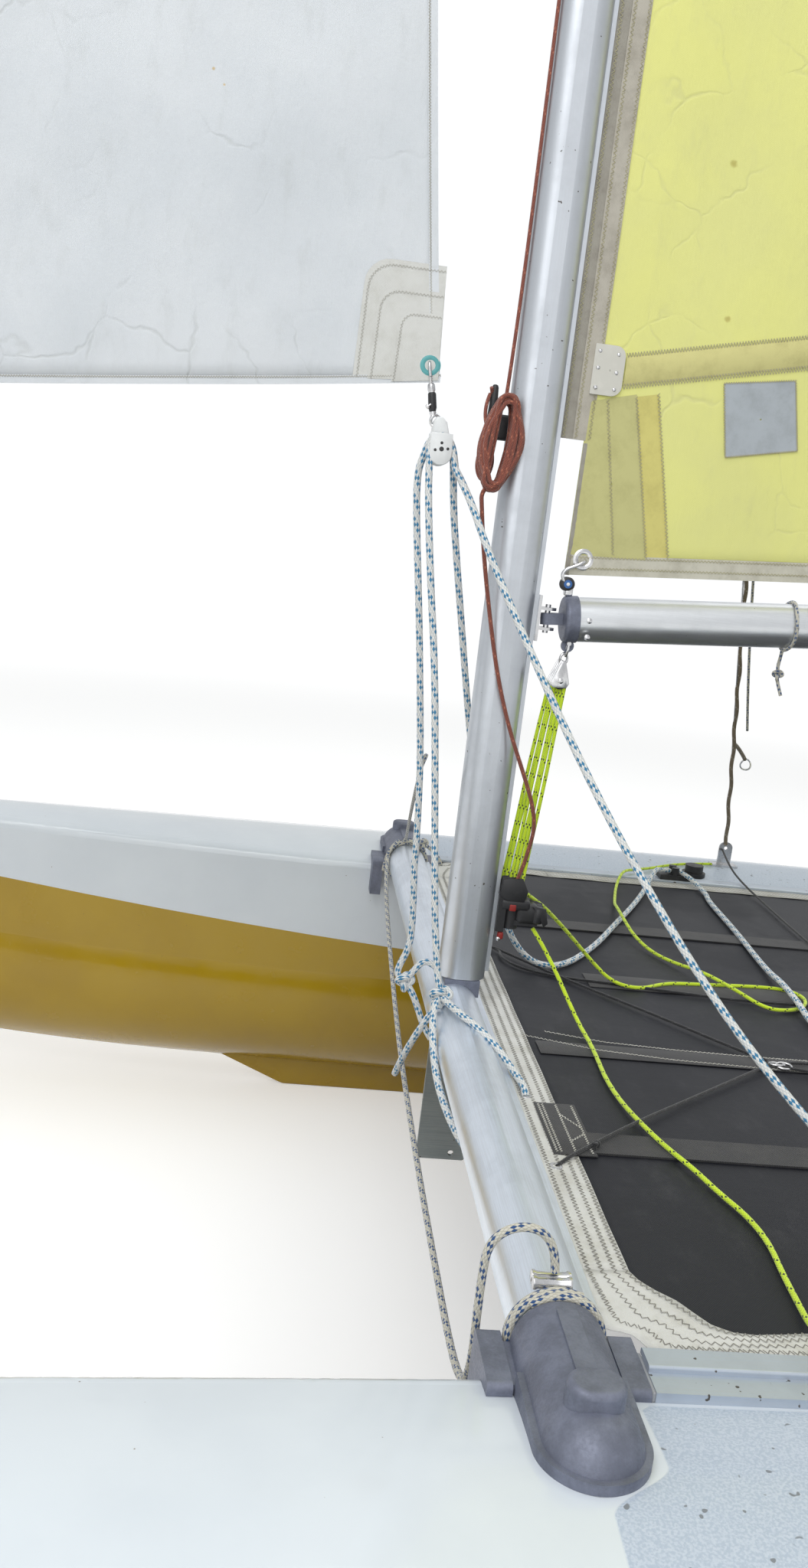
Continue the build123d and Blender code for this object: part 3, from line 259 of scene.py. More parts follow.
def polished(name, color, roughness=0.22):
    """Stainless steel with faint scratches and tarnish."""
    finish = Finish(name, metallic=1.0)
    tarnish = finish.cloud(60, 5, 0.45, 0.75)
    finish.surface(base_color=finish.mix(tarnish, color, scaled(color, 0.7)),
                   roughness=finish.spread(tarnish, 0, 1, roughness, roughness + 0.2))
    return finish.bumped(0.08, 0.0003, (finish.noise(900, 2, (1, 1, 0.1)), 1))


def moulded(name, color, roughness=0.42):
    """Moulded plastic with a fine texture and chalky wear."""
    finish = Finish(name, specular_IOR_level=0.45)
    chalk = finish.cloud(45, 6, 0.5, 0.8, 0, 0.35)
    finish.surface(base_color=finish.mix(chalk, color, scaled(color, 1.25, 0.05)),
                   roughness=finish.spread(chalk, 0, 0.35, roughness, roughness + 0.2))
    return finish.bumped(0.12, 0.0003, (finish.noise(1500, 2), 1))


def woven(finish, plane, pitch):
    """Height of a plain weave in the plane of two axes, such as XZ."""
    turns = (finish.math("MULTIPLY", finish.axis(letter), tau / pitch) for letter in plane)
    return finish.math("MULTIPLY", *(finish.math("SINE", turn) for turn in turns))


def sailcloth(name, color, shade, soil_and_crease_shade, stains):
    """Stiff resin-filled cloth: a fine weave, crossing crease lines, long soft wrinkles, soil and stains,
    with painted shade darkening the crease lines.
    Each stain is an X, a Z, a size in millimetres and a colour."""
    finish = Finish(name, roughness=0.62, sheen_weight=0.15, sheen_roughness=0.4, specular_IOR_level=0.3)
    where = finish.object_place()
    shift = finish.node("TexNoise", {"Vector": where, "Scale": 6.0, "Detail": 4.0}, out=1)
    shift = finish.node("VectorMath", {0: shift, 3: 0.16}, operation="SCALE")
    bent = finish.node("VectorMath", {0: where, 1: shift}, operation="ADD")
    crumple = finish.node("TexVoronoi", {"Vector": bent, "Scale": 9.0, "Randomness": 1.0},
                          feature="DISTANCE_TO_EDGE")
    crease = finish.math("MULTIPLY", finish.spread(crumple, 0.0, 0.035, 1, 0),
                         finish.cloud(4.5, 3, 0.48, 0.66, stretch=(1, 1, 1.3)))
    crease = finish.math("SUBTRACT", 1.0, crease)
    fine = finish.noise(34, 6, (1, 1, 0.35), 0.65)
    tint = finish.mix(finish.cloud(5, 6, 0.35, 0.7), color, shade)
    tint = finish.mix(finish.spread(fine, 0.5, 0.75, 0, 0.22), tint, soil_and_crease_shade)
    # Painted shade: the crease lines are darkened towards the soil colour, as if shaded in their folds.
    tint = finish.mix(finish.spread(crease, 0, 1, 0.3, 0), tint, soil_and_crease_shade)
    for x, z, size, mark in stains:
        away = finish.node("VectorMath", {0: where, 1: tuple(place(x, 0, z))}, out=1, operation="DISTANCE")
        away = finish.math("ADD", away, finish.math("MULTIPLY", finish.noise(90, 2), size * MM * 0.8))
        tint = finish.mix(finish.spread(away, size * MM * 0.9, size * MM * 1.5, 0.75, 0), tint, mark)
    finish.surface(base_color=tint)
    return finish.bumped(0.55, 0.0035, (crease, 0.3), (finish.noise(2.2, 2, (1, 1, 0.55)), 2.2), (fine, 0.7),
                         (woven(finish, "XZ", 0.0022), 0.03))


def tape_cloth(name, color, shade, plane, pitch=0.0016):
    """Woven tape with soil along it."""
    finish = Finish(name, roughness=0.85, sheen_weight=0.2)
    weave = woven(finish, plane, pitch)
    tint = finish.mix(finish.cloud(26, 7, 0.4, 0.72, roughness=0.7), color, shade)
    finish.surface(base_color=finish.mix(finish.spread(weave, -1, 1, 0, 0.15), tint, shade))
    return finish.bumped(0.35, 0.0006, (weave, 1), (finish.noise(60, 4), 2))


def coated_cloth(name):
    """The trampoline's cloth, dark grey: a fine weave under a worn coat that shines where it is smooth."""
    finish = Finish(name, specular_IOR_level=0.22)
    cloud = finish.cloud(3.5, 6, 0.35, 0.72)
    dust = finish.cloud(22, 7, 0.5, 0.8, 0, 0.4, stretch=(1, 0.5, 1), roughness=0.7)
    tint = finish.mix(cloud, (0.012, 0.013, 0.018), (0.024, 0.025, 0.030))
    finish.surface(base_color=finish.mix(dust, tint, (0.06, 0.06, 0.066)),
                   roughness=finish.spread(cloud, 0, 1, 0.42, 0.58))
    return finish.bumped(0.3, 0.0012, (woven(finish, "XY", 0.0024), 0.22),
                         (finish.noise(14, 4, (0.6, 1, 1)), 3))


def braid(name, color, shade, fleck, diameter=6, pairs=6, marks=1, repeat=6, lay=1.3):
    """Braided rope from the tube's own UV: metres along it and share of the way round. In each repeat of
    strands the first ones, as many as marks, have the fleck's colour where they lie on top. A strand goes
    round once in lay times the rope's circumference."""
    finish = Finish(name, roughness=0.8, sheen_weight=0.3)
    uv = finish.node("TexCoord", {}, out=2)
    along = finish.math("MULTIPLY", finish.axis("X", uv), pairs / (lay * pi * diameter * MM))
    around = finish.math("MULTIPLY", finish.axis("Y", uv), pairs)
    strands = [finish.math(way, around, along) for way in ("ADD", "SUBTRACT")]
    first, second = (finish.math("FLOOR", strand) for strand in strands)
    on_top = finish.math("FLOORED_MODULO", finish.math("ADD", first, second), 2.0)
    index = finish.math("FLOORED_MODULO", first, float(repeat))
    marked = finish.math("MULTIPLY", finish.math("LESS_THAN", index, marks - 0.5), on_top)
    groove = finish.math("MINIMUM", *(finish.math("PINGPONG", strand, 0.5) for strand in strands))
    # Painted shade: the grooves between the strands are darkened towards the shade colour.
    clean = finish.mix(finish.spread(groove, 0, 0.22), shade, color)
    clean = finish.mix(finish.cloud(60, 4, 0.45, 0.75, 0, 0.35), clean, shade)
    finish.surface(base_color=finish.mix(marked, clean, fleck))
    return finish.bumped(0.8, 0.0009, (groove, 1))


# Diameters of the ropes
SHEET_ROPE = 10
LINE_ROPE = 8
THIN_ROPE = 6

YELLOW_STAINS = [(-235, 1204, 7, (0.42, 0.36, 0.08)), (-258, 1008, 6, (0.45, 0.38, 0.10)),
                 (-238, 1207, 4, (0.42, 0.36, 0.08))]
WHITE_STAINS = [(410, 1330, 3, (0.55, 0.36, 0.10)), (455, 1222, 2.5, (0.55, 0.38, 0.14)),
                (440, 1205, 2, (0.6, 0.42, 0.16)), (400, 1160, 2.2, (0.58, 0.4, 0.15))]
FINISHES = {name: make(name + "_finish", *values) for name, make, *values in (
    ("hull_yellow", gelcoat, (0.42, 0.27, 0.010), (0.36, 0.225, 0.009), (0.2, 0.12, 0.02)),
    ("deck_white", deck_gelcoat),
    ("blade", gelcoat, (0.76, 0.78, 0.78), (0.68, 0.70, 0.70), (0.3, 0.28, 0.25)),
    ("cast_grey", cast_metal, (0.205, 0.222, 0.285)),
    ("steel", polished, (0.66, 0.66, 0.67)),
    ("tube_x", anodised, (0.72, 0.74, 0.76), "X"),
    ("tube_y", anodised, (0.80, 0.86, 0.94), "Y", 0.80),
    ("tube_z", anodised, (0.56, 0.59, 0.63), "Z", 0.74),
    ("dark_plate", anodised, (0.27, 0.31, 0.32), "X", 0.74, 0.6),
    ("rail", anodised, (0.50, 0.56, 0.64), "X", 0.70, 0.5),
    # A sailcloth's third colour is its soil, and also the painted shade along its crease lines.
    ("sail_yellow", sailcloth, (0.76, 0.76, 0.26), (0.71, 0.71, 0.27), (0.56, 0.55, 0.27), YELLOW_STAINS),
    ("sail_white", sailcloth, (0.67, 0.70, 0.725), (0.61, 0.645, 0.675), (0.44, 0.46, 0.45), WHITE_STAINS),
    ("batten", tape_cloth, (0.66, 0.62, 0.26), (0.53, 0.49, 0.20), "XZ"),
    ("patch", tape_cloth, (0.57, 0.55, 0.24), (0.49, 0.47, 0.20), "XZ"),
    ("patch_band", tape_cloth, (0.68, 0.62, 0.20), (0.57, 0.51, 0.16), "XZ"),
    ("jib_patch", tape_cloth, (0.68, 0.685, 0.655), (0.60, 0.60, 0.56), "XZ"),
    ("blank", tape_cloth, (0.44, 0.48, 0.51), (0.36, 0.39, 0.41), "XZ"),
    ("sail_tape", tape_cloth, (0.36, 0.34, 0.29), (0.27, 0.25, 0.21), "XZ"),
    ("sail_tape_top", tape_cloth, (0.50, 0.47, 0.40), (0.38, 0.35, 0.29), "XZ"),
    ("foot_tape", tape_cloth, (0.62, 0.60, 0.50), (0.46, 0.44, 0.35), "XZ"),
    ("thread_sail", tape_cloth, (0.46, 0.43, 0.26), (0.36, 0.33, 0.20), "XZ"),
    ("tape", tape_cloth, (0.67, 0.67, 0.64), (0.54, 0.53, 0.48), "XY"),
    ("thread_pale", tape_cloth, (0.70, 0.69, 0.62), (0.50, 0.49, 0.42), "XY"),
    ("thread_jib", tape_cloth, (0.46, 0.45, 0.40), (0.38, 0.37, 0.32), "XY"),
    ("thread_dark", tape_cloth, (0.26, 0.25, 0.22), (0.17, 0.16, 0.14), "XY"),
    ("webbing", tape_cloth, (0.018, 0.018, 0.020), (0.035, 0.033, 0.033), "XY", 0.003),
    ("tramp_cloth", coated_cloth),
    ("plate", moulded, (0.60, 0.59, 0.53), 0.4),
    ("teal", moulded, (0.10, 0.36, 0.37), 0.35),
    ("blue_plastic", moulded, (0.03, 0.12, 0.35), 0.3),
    ("black_plastic", moulded, (0.022, 0.022, 0.024)),
    ("white_plastic", moulded, (0.74, 0.76, 0.76), 0.3),
    ("rail_plug", moulded, (0.30, 0.31, 0.33), 0.5),
    ("red_plastic", moulded, (0.26, 0.022, 0.018)),
    ("rope", braid, (0.74, 0.75, 0.73), (0.48, 0.50, 0.50), (0.03, 0.19, 0.36), SHEET_ROPE, 8, 2, 4, 2),
    ("cream_rope", braid, (0.60, 0.58, 0.50), (0.40, 0.38, 0.31), (0.02, 0.07, 0.20), LINE_ROPE, 8, 2, 4, 2),
    ("rope_neon", braid, (0.66, 0.88, 0.02), (0.42, 0.56, 0.02), (0.03, 0.035, 0.02)),
    ("rope_red", braid, (0.27, 0.075, 0.045), (0.13, 0.035, 0.025), (0.42, 0.14, 0.08)),
    ("shock_cord", braid, (0.016, 0.016, 0.018), (0.008, 0.008, 0.009), (0.05, 0.05, 0.055)),
    ("brown_rope", braid, (0.24, 0.19, 0.13), (0.10, 0.08, 0.06), (0.36, 0.33, 0.28)),
)}


def each_to_key(groups):
    """Turns {key: (member, ...)} into {member: key}."""
    return {member: key for key, members in groups.items() for member in members}


# The record's slot of each finish that isn't named like its slot
SLOTS = each_to_key({
    "sail_yellow": ("sail_tape", "sail_tape_top", "foot_tape", "patch", "patch_band", "blank", "thread_sail"),
    "sail_white": ("jib_patch", "thread_jib"), "tramp_cloth": ("tape", "thread_dark", "thread_pale"),
    "white_plastic": ("plate", "rail_plug"), "black_plastic": ("teal", "blue_plastic", "red_plastic"),
    "rope": ("cream_rope", "shock_cord", "brown_rope"),
})
# CAD's nodes that don't have the finish of their slot
CAD_FINISHES = each_to_key({
    "tube_x": ("boom", "tiller_port", "tiller_starboard"), "tube_z": ("mast", "mast_foot"),
    "tube_y": ("front_beam", "rear_beam", "traveller_track", "crossbar", "tiller_extension"),
    "dark_plate": ("centre_plate",), "rail": ("tramp_rails",), "steel": ("gooseneck",),
})


def dress_cad():
    """Gives every carried-over node its finish, by name or by its slot in the record."""
    slots = {part["node"]: part["material_slot"] for part in frame["record"]["subparts"]}
    for name, node in frame["nodes"].items():
        node.data.materials.clear()
        node.data.materials.append(FINISHES[CAD_FINISHES.get(name, slots[name])])


# Shapes

def between(a, b, share):
    return [p + (q - p) * share for p, q in zip(a, b)]


def smooth_line(name, points):
    """The line of a route in metres: a NURBS spline with the route's points as its control points."""
    curve = bpy.data.curves.new(name, "CURVE")
    curve.dimensions = "3D"
    curve.resolution_u = 10
    spline = curve.splines.new("NURBS")
    spline.points.add(len(points) - 1)
    for control, point in zip(spline.points, points):
        control.co = (*place(*point), 1)
    spline.order_u = 3
    spline.use_endpoint_u = True
    holder = bpy.data.objects.new(name, curve)
    mesh = bpy.data.meshes.new_from_object(holder)
    line = [vertex.co.copy() for vertex in mesh.vertices]
    bpy.data.objects.remove(holder)
    bpy.data.curves.remove(curve)
    bpy.data.meshes.remove(mesh)
    return line


def line_length(line):
    return sum((b - a).length for a, b in zip(line, line[1:]))


def even_line(line, step):
    """Points a step apart along a line."""
    count = max(2, round(line_length(line) / step))
    spacing = line_length(line) / count
    points, gone = [line[0].copy()], 0.0
    for a, b in zip(line, line[1:]):
        run = (b - a).length
        while run > 0 and gone + run >= spacing * len(points) - 1e-9 and len(points) <= count:
            points.append(a.lerp(b, min(1, (spacing * len(points) - gone) / run)))
        gone += run
    return points


def circle(centre, side, up, radius, sides):
    angles = (tau * j / sides for j in range(sides))
    return [centre + radius * MM * (side * cos(angle) + up * sin(angle)) for angle in angles]


def ring(where, count=24):
    """A closed line in metres: where gives its place in millimetres for an angle."""
    return [place(*where(tau * i / count)) for i in range(count + 1)]


class Shape:
    """Gathers the faces of one piece, in metres, with UVs of metres along and share round."""

    def __init__(self):
        self.vertices, self.faces, self.uvs = [], [], []

    def rows(self, rows, closed=False, caps=False, alongs=None):
        """Faces between rows of points. A closed row ends where it starts. Caps close the two end rows."""
        start, count, last = len(self.vertices), len(rows[0]), len(rows) - 1
        if alongs is None:
            alongs = [0.0]
            for before, after in zip(rows, rows[1:]):
                alongs.append(alongs[-1] + (after[0] - before[0]).length)
        for row in rows:
            self.vertices.extend(tuple(point) for point in row)

        def face(*corners):
            self.faces.append([start + i * count + j % count for i, j in corners])
            self.uvs.append([(alongs[i], j / count) for i, j in corners])

        for i in range(last):
            for j in range(count if closed else count - 1):
                face((i, j), (i, j + 1), (i + 1, j + 1), (i + 1, j))
        if caps:
            face(*((0, j) for j in reversed(range(count))))
            face(*((last, j) for j in range(count)))
        return self

    def tube(self, line, radius, sides=12):
        """A round tube of a radius in millimetres along a line in metres."""
        side = (line[1] - line[0]).normalized().orthogonal().normalized()
        rows, alongs = [], [0.0]
        for i, point in enumerate(line):
            tangent = (line[min(i + 1, len(line) - 1)] - line[max(i - 1, 0)]).normalized()
            side = (side - tangent * side.dot(tangent)).normalized()
            rows.append(circle(point, side, tangent.cross(side), radius, sides))
            if i:
                alongs.append(alongs[-1] + (point - line[i - 1]).length)
        return self.rows(rows, closed=True, caps=True, alongs=alongs)

    def lathe(self, start, way, profile, sides):
        """A turned piece: profile is pairs of millimetres from start along way, and radius."""
        a, way = place(*start), way.normalized()
        side = way.orthogonal().normalized()
        rows = [circle(a + way * along * MM, side, way.cross(side), max(radius, LEAST_RADIUS), sides)
                for along, radius in profile]
        return self.rows(rows, closed=True, caps=True)

    def plate(self, outline, low, high, bevel):
        """A flat plate along the boat: its outline is in X and Z, its two faces at Y low and high."""
        middle = middle_of(outline)
        levels = [(low, bevel), (low + bevel / 3, bevel / 3), (low + bevel, 0), (high - bevel, 0),
                  (high - bevel / 3, bevel / 3), (high, bevel)]
        rows = []
        for y, inset in levels:
            inner = [between(middle, point, 1 - inset / dist(point, middle)) for point in outline]
            rows.append([place(x, y, z) for x, z in inner])
        return self.rows(rows, closed=True, caps=True)

    def rounded_box(self, centre, size, radius):
        """A block with rounded edges: centre and size in millimetres."""
        half = Vector(size) / 2
        levels = [(-half.z + radius * (1 - cos(a)), radius * (1 - sin(a)))
                  for a in (radians(22.5 * i) for i in range(5))]
        levels += [(-z, inset) for z, inset in reversed(levels)]
        rows = []
        for z, inset in levels:
            row = []
            for sx, sy, first in ((1, 1, 0), (-1, 1, 90), (-1, -1, 180), (1, -1, 270)):
                corner = Vector((sx * (half.x - radius), sy * (half.y - radius), z))
                for angle in (radians(first + 30 * step) for step in range(4)):
                    row.append(corner + (radius - inset) * Vector((cos(angle), sin(angle), 0)))
            rows.append([place(*centre) + MM * point for point in row])
        return self.rows(rows, closed=True, caps=True)

    def stitches(self, line, across, lift, width, pitch, thread=0.9):
        """A zigzag of thread along a line in metres: across and lift are unit vectors, the rest is in mm."""
        points = even_line(line, pitch * MM / 2)
        zig = [point + across * (width * MM / 2 * (1 if i % 2 else -1)) for i, point in enumerate(points)]
        for a, b in zip(zig, zig[1:]):
            side = (b - a).normalized().cross(lift).normalized() * thread * MM / 2
            top = lift * thread * MM / 3
            self.rows([[a - side, a + top, a + side], [b - side, b + top, b + side]])

    def sew(self, line, out, width, pitch, thread, side=1):
        """Stitches on each part of a line, on the face of a cloth that looks along out, or away from it."""
        for a, b in zip(line, line[1:]):
            self.stitches([a, b], (b - a).normalized().cross(out), out * side, width, pitch, thread)

    def piece(self, name, finish, body="root", smooth=True, thickness=0.0):
        mesh = bpy.data.meshes.new(name)
        mesh.from_pydata(self.vertices, [], self.faces)
        layer = mesh.uv_layers.new(name="UVMap")
        layer.data.foreach_set("uv", [value for face in self.uvs for corner in face for value in corner])
        mesh.materials.append(FINISHES[finish])
        mesh.polygons.foreach_set("use_smooth", [smooth] * len(mesh.polygons))
        made = bpy.data.objects.new(name, mesh)
        bpy.context.collection.objects.link(made)
        if thickness:
            solid = made.modifiers.new("thickness", "SOLIDIFY")
            solid.thickness = thickness * MM
            solid.offset = 0
        elif smooth:
            mesh.set_sharp_from_angle(angle=SHARP_ANGLE)
        if body:
            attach(made, body)
        SLOTS.get(finish, finish)
        return made


LEAST_RADIUS = 0.01
SHARP_ANGLE = radians(50)


def middle_of(outline):
    return [sum(values) / len(outline) for values in zip(*outline)]


# Free ropes: diameter, length in metres, finish and the route of part.py

ROUTES = {
    "rope_sheet_port": (SHEET_ROPE, 1.37, "rope", [
        (89, 14, 768), (68, 38, 733), (41, 71, 668), (5, 113, 596), (-36, 162, 517), (-80, 215, 435),
        (-127, 272, 354), (-175, 330, 280), (-222, 386, 212), (-268, 441, 154), (-314, 496, 106),
        (-358, 549, 67), (-400, 600, 38), (-440, 648, 19), (-476, 692, 11), (-502, 732, 13),
        (-520, 768, 22), (-540, 807, 30), (-556, 826, 26.5), (-581.5, 832, 23.3)]),
    "rope_sheet_starboard": (SHEET_ROPE, 1.62, "rope", [
        (88, -13, 767), (82, -20, 722), (68, -31, 655), (50, -46, 575), (31, -61, 490), (11, -77, 402),
        (-12, -95, 315), (-38, -114, 232), (-66, -134, 155), (-95, -152, 90), (-124, -166, 40),
        (-156, -172, 13), (-192, -178, 7.5), (-226, -206, 7.5), (-262, -258, 7.5), (-300, -320, 8),
        (-340, -395, 10), (-382, -478, 10), (-424, -562, 8), (-462, -640, 9), (-496, -712, 13),
        (-520, -764, 22), (-540, -805, 30), (-556, -826, 26.5), (-581.5, -832, 23.3)]),
    "rope_sheet_end": (SHEET_ROPE, 0.155, "rope", [
        (38.6, 97, 20), (52, 91, -8), (62, 74, -42), (69, 50, -78), (72, 24, -110)]),
    "rope_between_hulls": (LINE_ROPE, 1.80, "cream_rope", [
        (40, -786, 14), (45, -740, -6), (48, -688, -18), (50, -610, -37), (51, -500, -62),
        (52, -390, -80), (53, -280, -97), (54, -170, -110), (55, -60, -120), (55, 50, -128),
        (55, 160, -134), (55, 270, -138), (55, 380, -140), (55, 490, -140), (56, 595, -136),
        (58, 680, -122), (61, 738, -92), (64, 768, -48), (67, 777, 2), (68, 779, 40), (67, 780, 77),
        (49, 781, 95), (23, 781, 96), (6, 781, 76), (4, 781, 54.5)]),
    "rope_downhaul_port": (THIN_ROPE, 1.43, "rope_neon", [
        (-108, 3, 126), (-119, 6, 112), (-132, 13, 93), (-149, 28, 66), (-168, 50, 31), (-179, 84, 11),
        (-184, 130, 5.4), (-182, 185, 5.4), (-178, 250, 5.4), (-181, 318, 6), (-190, 378, 8),
        (-204, 434, 8), (-224, 484, 7), (-238, 532, 5.4), (-254, 578, 5.4), (-259, 628, 5.4),
        (-252, 684, 5.4), (-248, 734, 5.8), (-243, 774, 9), (-246, 808, 19), (-258, 846, 17),
        (-286, 874, 8), (-336, 890, 4.5), (-405, 899, 5), (-480, 905, 5.5), (-552, 916, 6.5),
        (-612, 942, 8.6), (-670, 970, 9.6), (-728.8, 990, 9.4)]),
    "rope_downhaul_starboard": (THIN_ROPE, 1.86, "rope_neon", [
        (-90, -3, 178), (-112, -22, 162), (-137, -50, 142), (-186, -90, 95), (-237, -120, 43),
        (-276, -116, 10), (-321, -107, 5.4), (-374, -147, 5.4), (-428, -154, 5.4), (-492, -162, 5.4),
        (-555, -168, 5.4), (-592, -160, 5.4), (-606, -130, 5.4), (-592, -92, 5.4), (-556, -64, 5.4),
        (-512, -60, 7), (-478, -112, 17), (-448, -186, 17), (-420, -245, 8), (-394, -303, 6),
        (-378, -365, 14), (-374, -425, 24), (-381, -512, 24), (-394, -572, 11), (-412, -640, 7),
        (-430, -705, 9), (-450, -760, 17), (-474, -812, 20), (-512, -860, 12), (-558, -902, 7.5),
        (-610, -940, 9), (-668, -970, 10), (-728.8, -990, 9.4)]),
}
HALYARD_TAIL = [
    (49, 40, 751), (50, 40, 722), (43, 39, 680), (33, 38, 632), (20, 37, 578), (5, 36, 520),
    (-12, 36, 466), (-33, 37, 412), (-56, 36, 364), (-77, 32, 318), (-86, 26, 282), (-83, 19, 248),
    (-78, 13, 214), (-70, 6, 180.5)]
COIL_TURNS = 16
COIL_TURN = [            # one turn from its lower fold: the angle in a fold, and how far up the straight
    (-90, -1), (-45, -1), (0, -1), (0, -0.8), (0, -0.5), (0, 0), (0, 0.5), (0, 0.8), (0, 1), (45, 1), (90, 1),
    (135, 1), (180, 1), (180, 0.8), (180, 0.5), (180, 0), (180, -0.5), (180, -0.8), (180, -1), (225, -1)]
COIL_CENTRE = (36, 0, 807)
COIL_HALF = (28, 62)
COIL_FOLD = (9, 11.5)    # least and greatest radius of a turn's folds
COIL_Y = (31, 51)
COIL_END = (53, 41, 739)
FERRULE_TUBE = [(0, 4.4), (0.4, 6.2), (2.6, 6.6), (5, 5.4), (15, 5), (21, 5), (31, 5.4), (33.4, 6.6),
                (35.6, 6.2), (36, 4.4)]
HORN_Z = 830
HORN_CLEAT = [(0, 1.5), (0.8, 3.4), (4, 4.6), (22, 5.6), (38, 6.4), (55, 6.8), (72, 6.4), (88, 5.6),
              (106, 4.6), (109.2, 3.4), (110, 1.5)]
MAST_FRONT = 24          # X of the mast's front face


def make_ferrule():
    """The crimped double tube on the port end of the rope between the hulls."""
    ferrule = Shape()
    for y, z in ((777.5, 46), (784, 45)):
        ferrule.lathe((-12, y, z), FORWARD, FERRULE_TUBE, 20)
    ferrule = ferrule.piece("ferrule", "steel", "root")
    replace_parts(ferrule, "rope_ferrule")
    return ferrule


def make_ropes():
    ferrule = make_ferrule()
    for name, (diameter, length, finish, points) in ROUTES.items():
        line = smooth_line(name, points)
        crosses = name.startswith("rope_downhaul")
        rope = Shape().tube(line, diameter / 2, 14)
        rope = rope.piece(name.replace("rope_", "line_"), finish, None if crosses else "root")
        if crosses:
            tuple(line[0])
            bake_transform(rope)
        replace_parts(rope, name)
        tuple(line[0])


def halyard_points():
    """The hank's turns, uneven and fanned out, and then the tail below it."""
    points = []
    middle = (COIL_FOLD[0] + COIL_FOLD[1]) / 2
    count = len(COIL_TURN)
    for step in range(COIL_TURNS * count + 1):
        angle, share = COIL_TURN[step % count]
        angle, turn = radians(angle), step / count
        fold = middle + (COIL_FOLD[1] - middle) * sin(2.4 * turn + 0.6)
        height = (COIL_HALF[1] - fold) * (0.93 + 0.07 * cos(1.7 * turn)) * share + fold * sin(angle)
        belly = (COIL_HALF[0] - fold) * (0.5 + 0.5 * sin(2.1 * turn)) * cos(pi / 2 * share)
        spread = (COIL_Y[1] - COIL_Y[0]) * (0.5 - 0.5 * cos(4.9 * turn / COIL_TURNS))
        points.append((COIL_CENTRE[0] + (fold + belly) * cos(angle) + 3 * sin(1.3 * turn) - 0.08 * height,
                       COIL_Y[0] + spread + 3 * sin(2.9 * turn),
                       COIL_CENTRE[2] + height + 2 * cos(2.3 * turn)))
    return points + [COIL_END] + HALYARD_TAIL[1:]


def make_halyard():
    """The halyard's hank on its cleat with the tail, and the taut part up the mast's front."""
    line = smooth_line("rope_halyard", halyard_points())
    rope = Shape().tube(line, THIN_ROPE / 2, 8).piece("rope_halyard", "rope_red", "mast")
    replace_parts(rope, "rope_halyard_tail", "rope_halyard_coil")
    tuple(line[0])
    line_length(line)
    front = MAST_FRONT + THIN_ROPE / 2
    taut = [(front + 4, 6, HORN_Z + 30), (front, 8, 960), (front, 6, 1400), (front, 5, 2600),
            (front, 4, 4200), (front - 1, 3, 6235)]
    wraps = [(52, 0, 872), (60, 10, 850), (50, 22, 815), (38, 24, 780), (48, 6, 752), (60, -8, 775),
             (50, -18, 815), (44, -10, 862), (52, 6, 880)]
    rope_piece("halyard_on_mast", [taut, wraps], 5.2, "rope_red", "mast", 8)
    cleat = Shape().lathe((46, 0, HORN_Z - 55), UP, HORN_CLEAT, 20)
    cleat.rounded_box((32, 0, HORN_Z), (22, 13, 34), 4)
    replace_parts(cleat.piece("horn_cleat", "black_plastic", "mast"), "halyard_cleat")


# Sails

LUFF_X = -51.5
TACK_X = -88
TAPE_END_Z = 827
SAIL_HEAD = (-201.5, 5900)
SAIL_TACK = (-83, 643.5)
SAIL_CLEW = (-2178, 808)
ROACH = (-1500, 3450)
BATTENS = [924, 1850, 2780, 3700, 4600, 5350]
BATTEN_RISE = 0.22
BATTEN_HALF = 19
PLATE_FRONT_X = -83
PLATE_BACK_X = -112      # where a batten's end plate begins to round off
PLATE_HALF = 33
PLATE_ROUNDING = 14
PLATE_RIVETS = ((-90, 24), (-90, 2), (-90, -24), (-116, 22), (-116, -2), (-116, -24))
BATTEN_BULGE = [(-BATTEN_HALF, 0.9), (-14, 2.6), (-6, 3.8), (0, 4.0), (6, 3.8), (14, 2.6), (BATTEN_HALF, 0.9)]
RIVET = [(0, 3), (1.2, 2.6), (1.8, 1.2), (1.9, 0)]
EYE = [(0.5, 15), (2.4, 15), (3.4, 13), (3.4, 9), (1, 6.5), (0.9, 0)]
TACK_PATCHES = (((-84, 672), (-88, 880), (-149, 896), (-194, 676)),
                ((-140, 674), (-128, 888), (-180, 900), (-227, 678)))
TACK_SEAMS = (((-110, 884), (-147, 678)), ((-149, 893), (-194, 679)), ((-179, 901), (-226, 681)))
BLANK_PATCH = [(-267, 925), (-367, 941), (-387, 849), (-285, 828)]


def arc_through(a, b, c, count):
    """Points along the arc from a over b to c, each an X and a Z."""
    (ax, az), (bx, bz) = ((p[0] - a[0], p[1] - a[1]) for p in (b, c))
    cross = 2 * (ax * bz - az * bx)
    middle_x = a[0] + (bz * (ax * ax + az * az) - az * (bx * bx + bz * bz)) / cross
    middle_z = a[1] + (ax * (bx * bx + bz * bz) - bx * (ax * ax + az * az)) / cross
    radius = dist(a, (middle_x, middle_z))
    first, end = (atan2(p[1] - middle_z, p[0] - middle_x) for p in (a, c))
    angles = (first + ((end - first + pi) % tau - pi) * i / count for i in range(count + 1))
    return [(middle_x + radius * cos(angle), middle_z + radius * sin(angle)) for angle in angles]


def sail_wave(x, z):
    """How far a sail stands off its flat form, in millimetres."""
    return 1.6 * sin(x / 61 + z / 147) + 1.1 * sin(z / 53 - x / 230) + 0.7 * sin(x / 27 + 1.3 * sin(z / 90))


def on_sail(points, offset=0, wave=sail_wave):
    return [place(x, offset + wave(x, z), z) for x, z in points]


def patch_on(outline, offset, wave=sail_wave):
    """A patch in X and Z, set off the sail to port: rings of points from its border to its middle."""
    middle = middle_of(outline)
    return [on_sail([between(middle, point, share) for point in outline], offset, wave)
            for share in (1.0, 0.75, 0.5, 0.25, 0.02)]


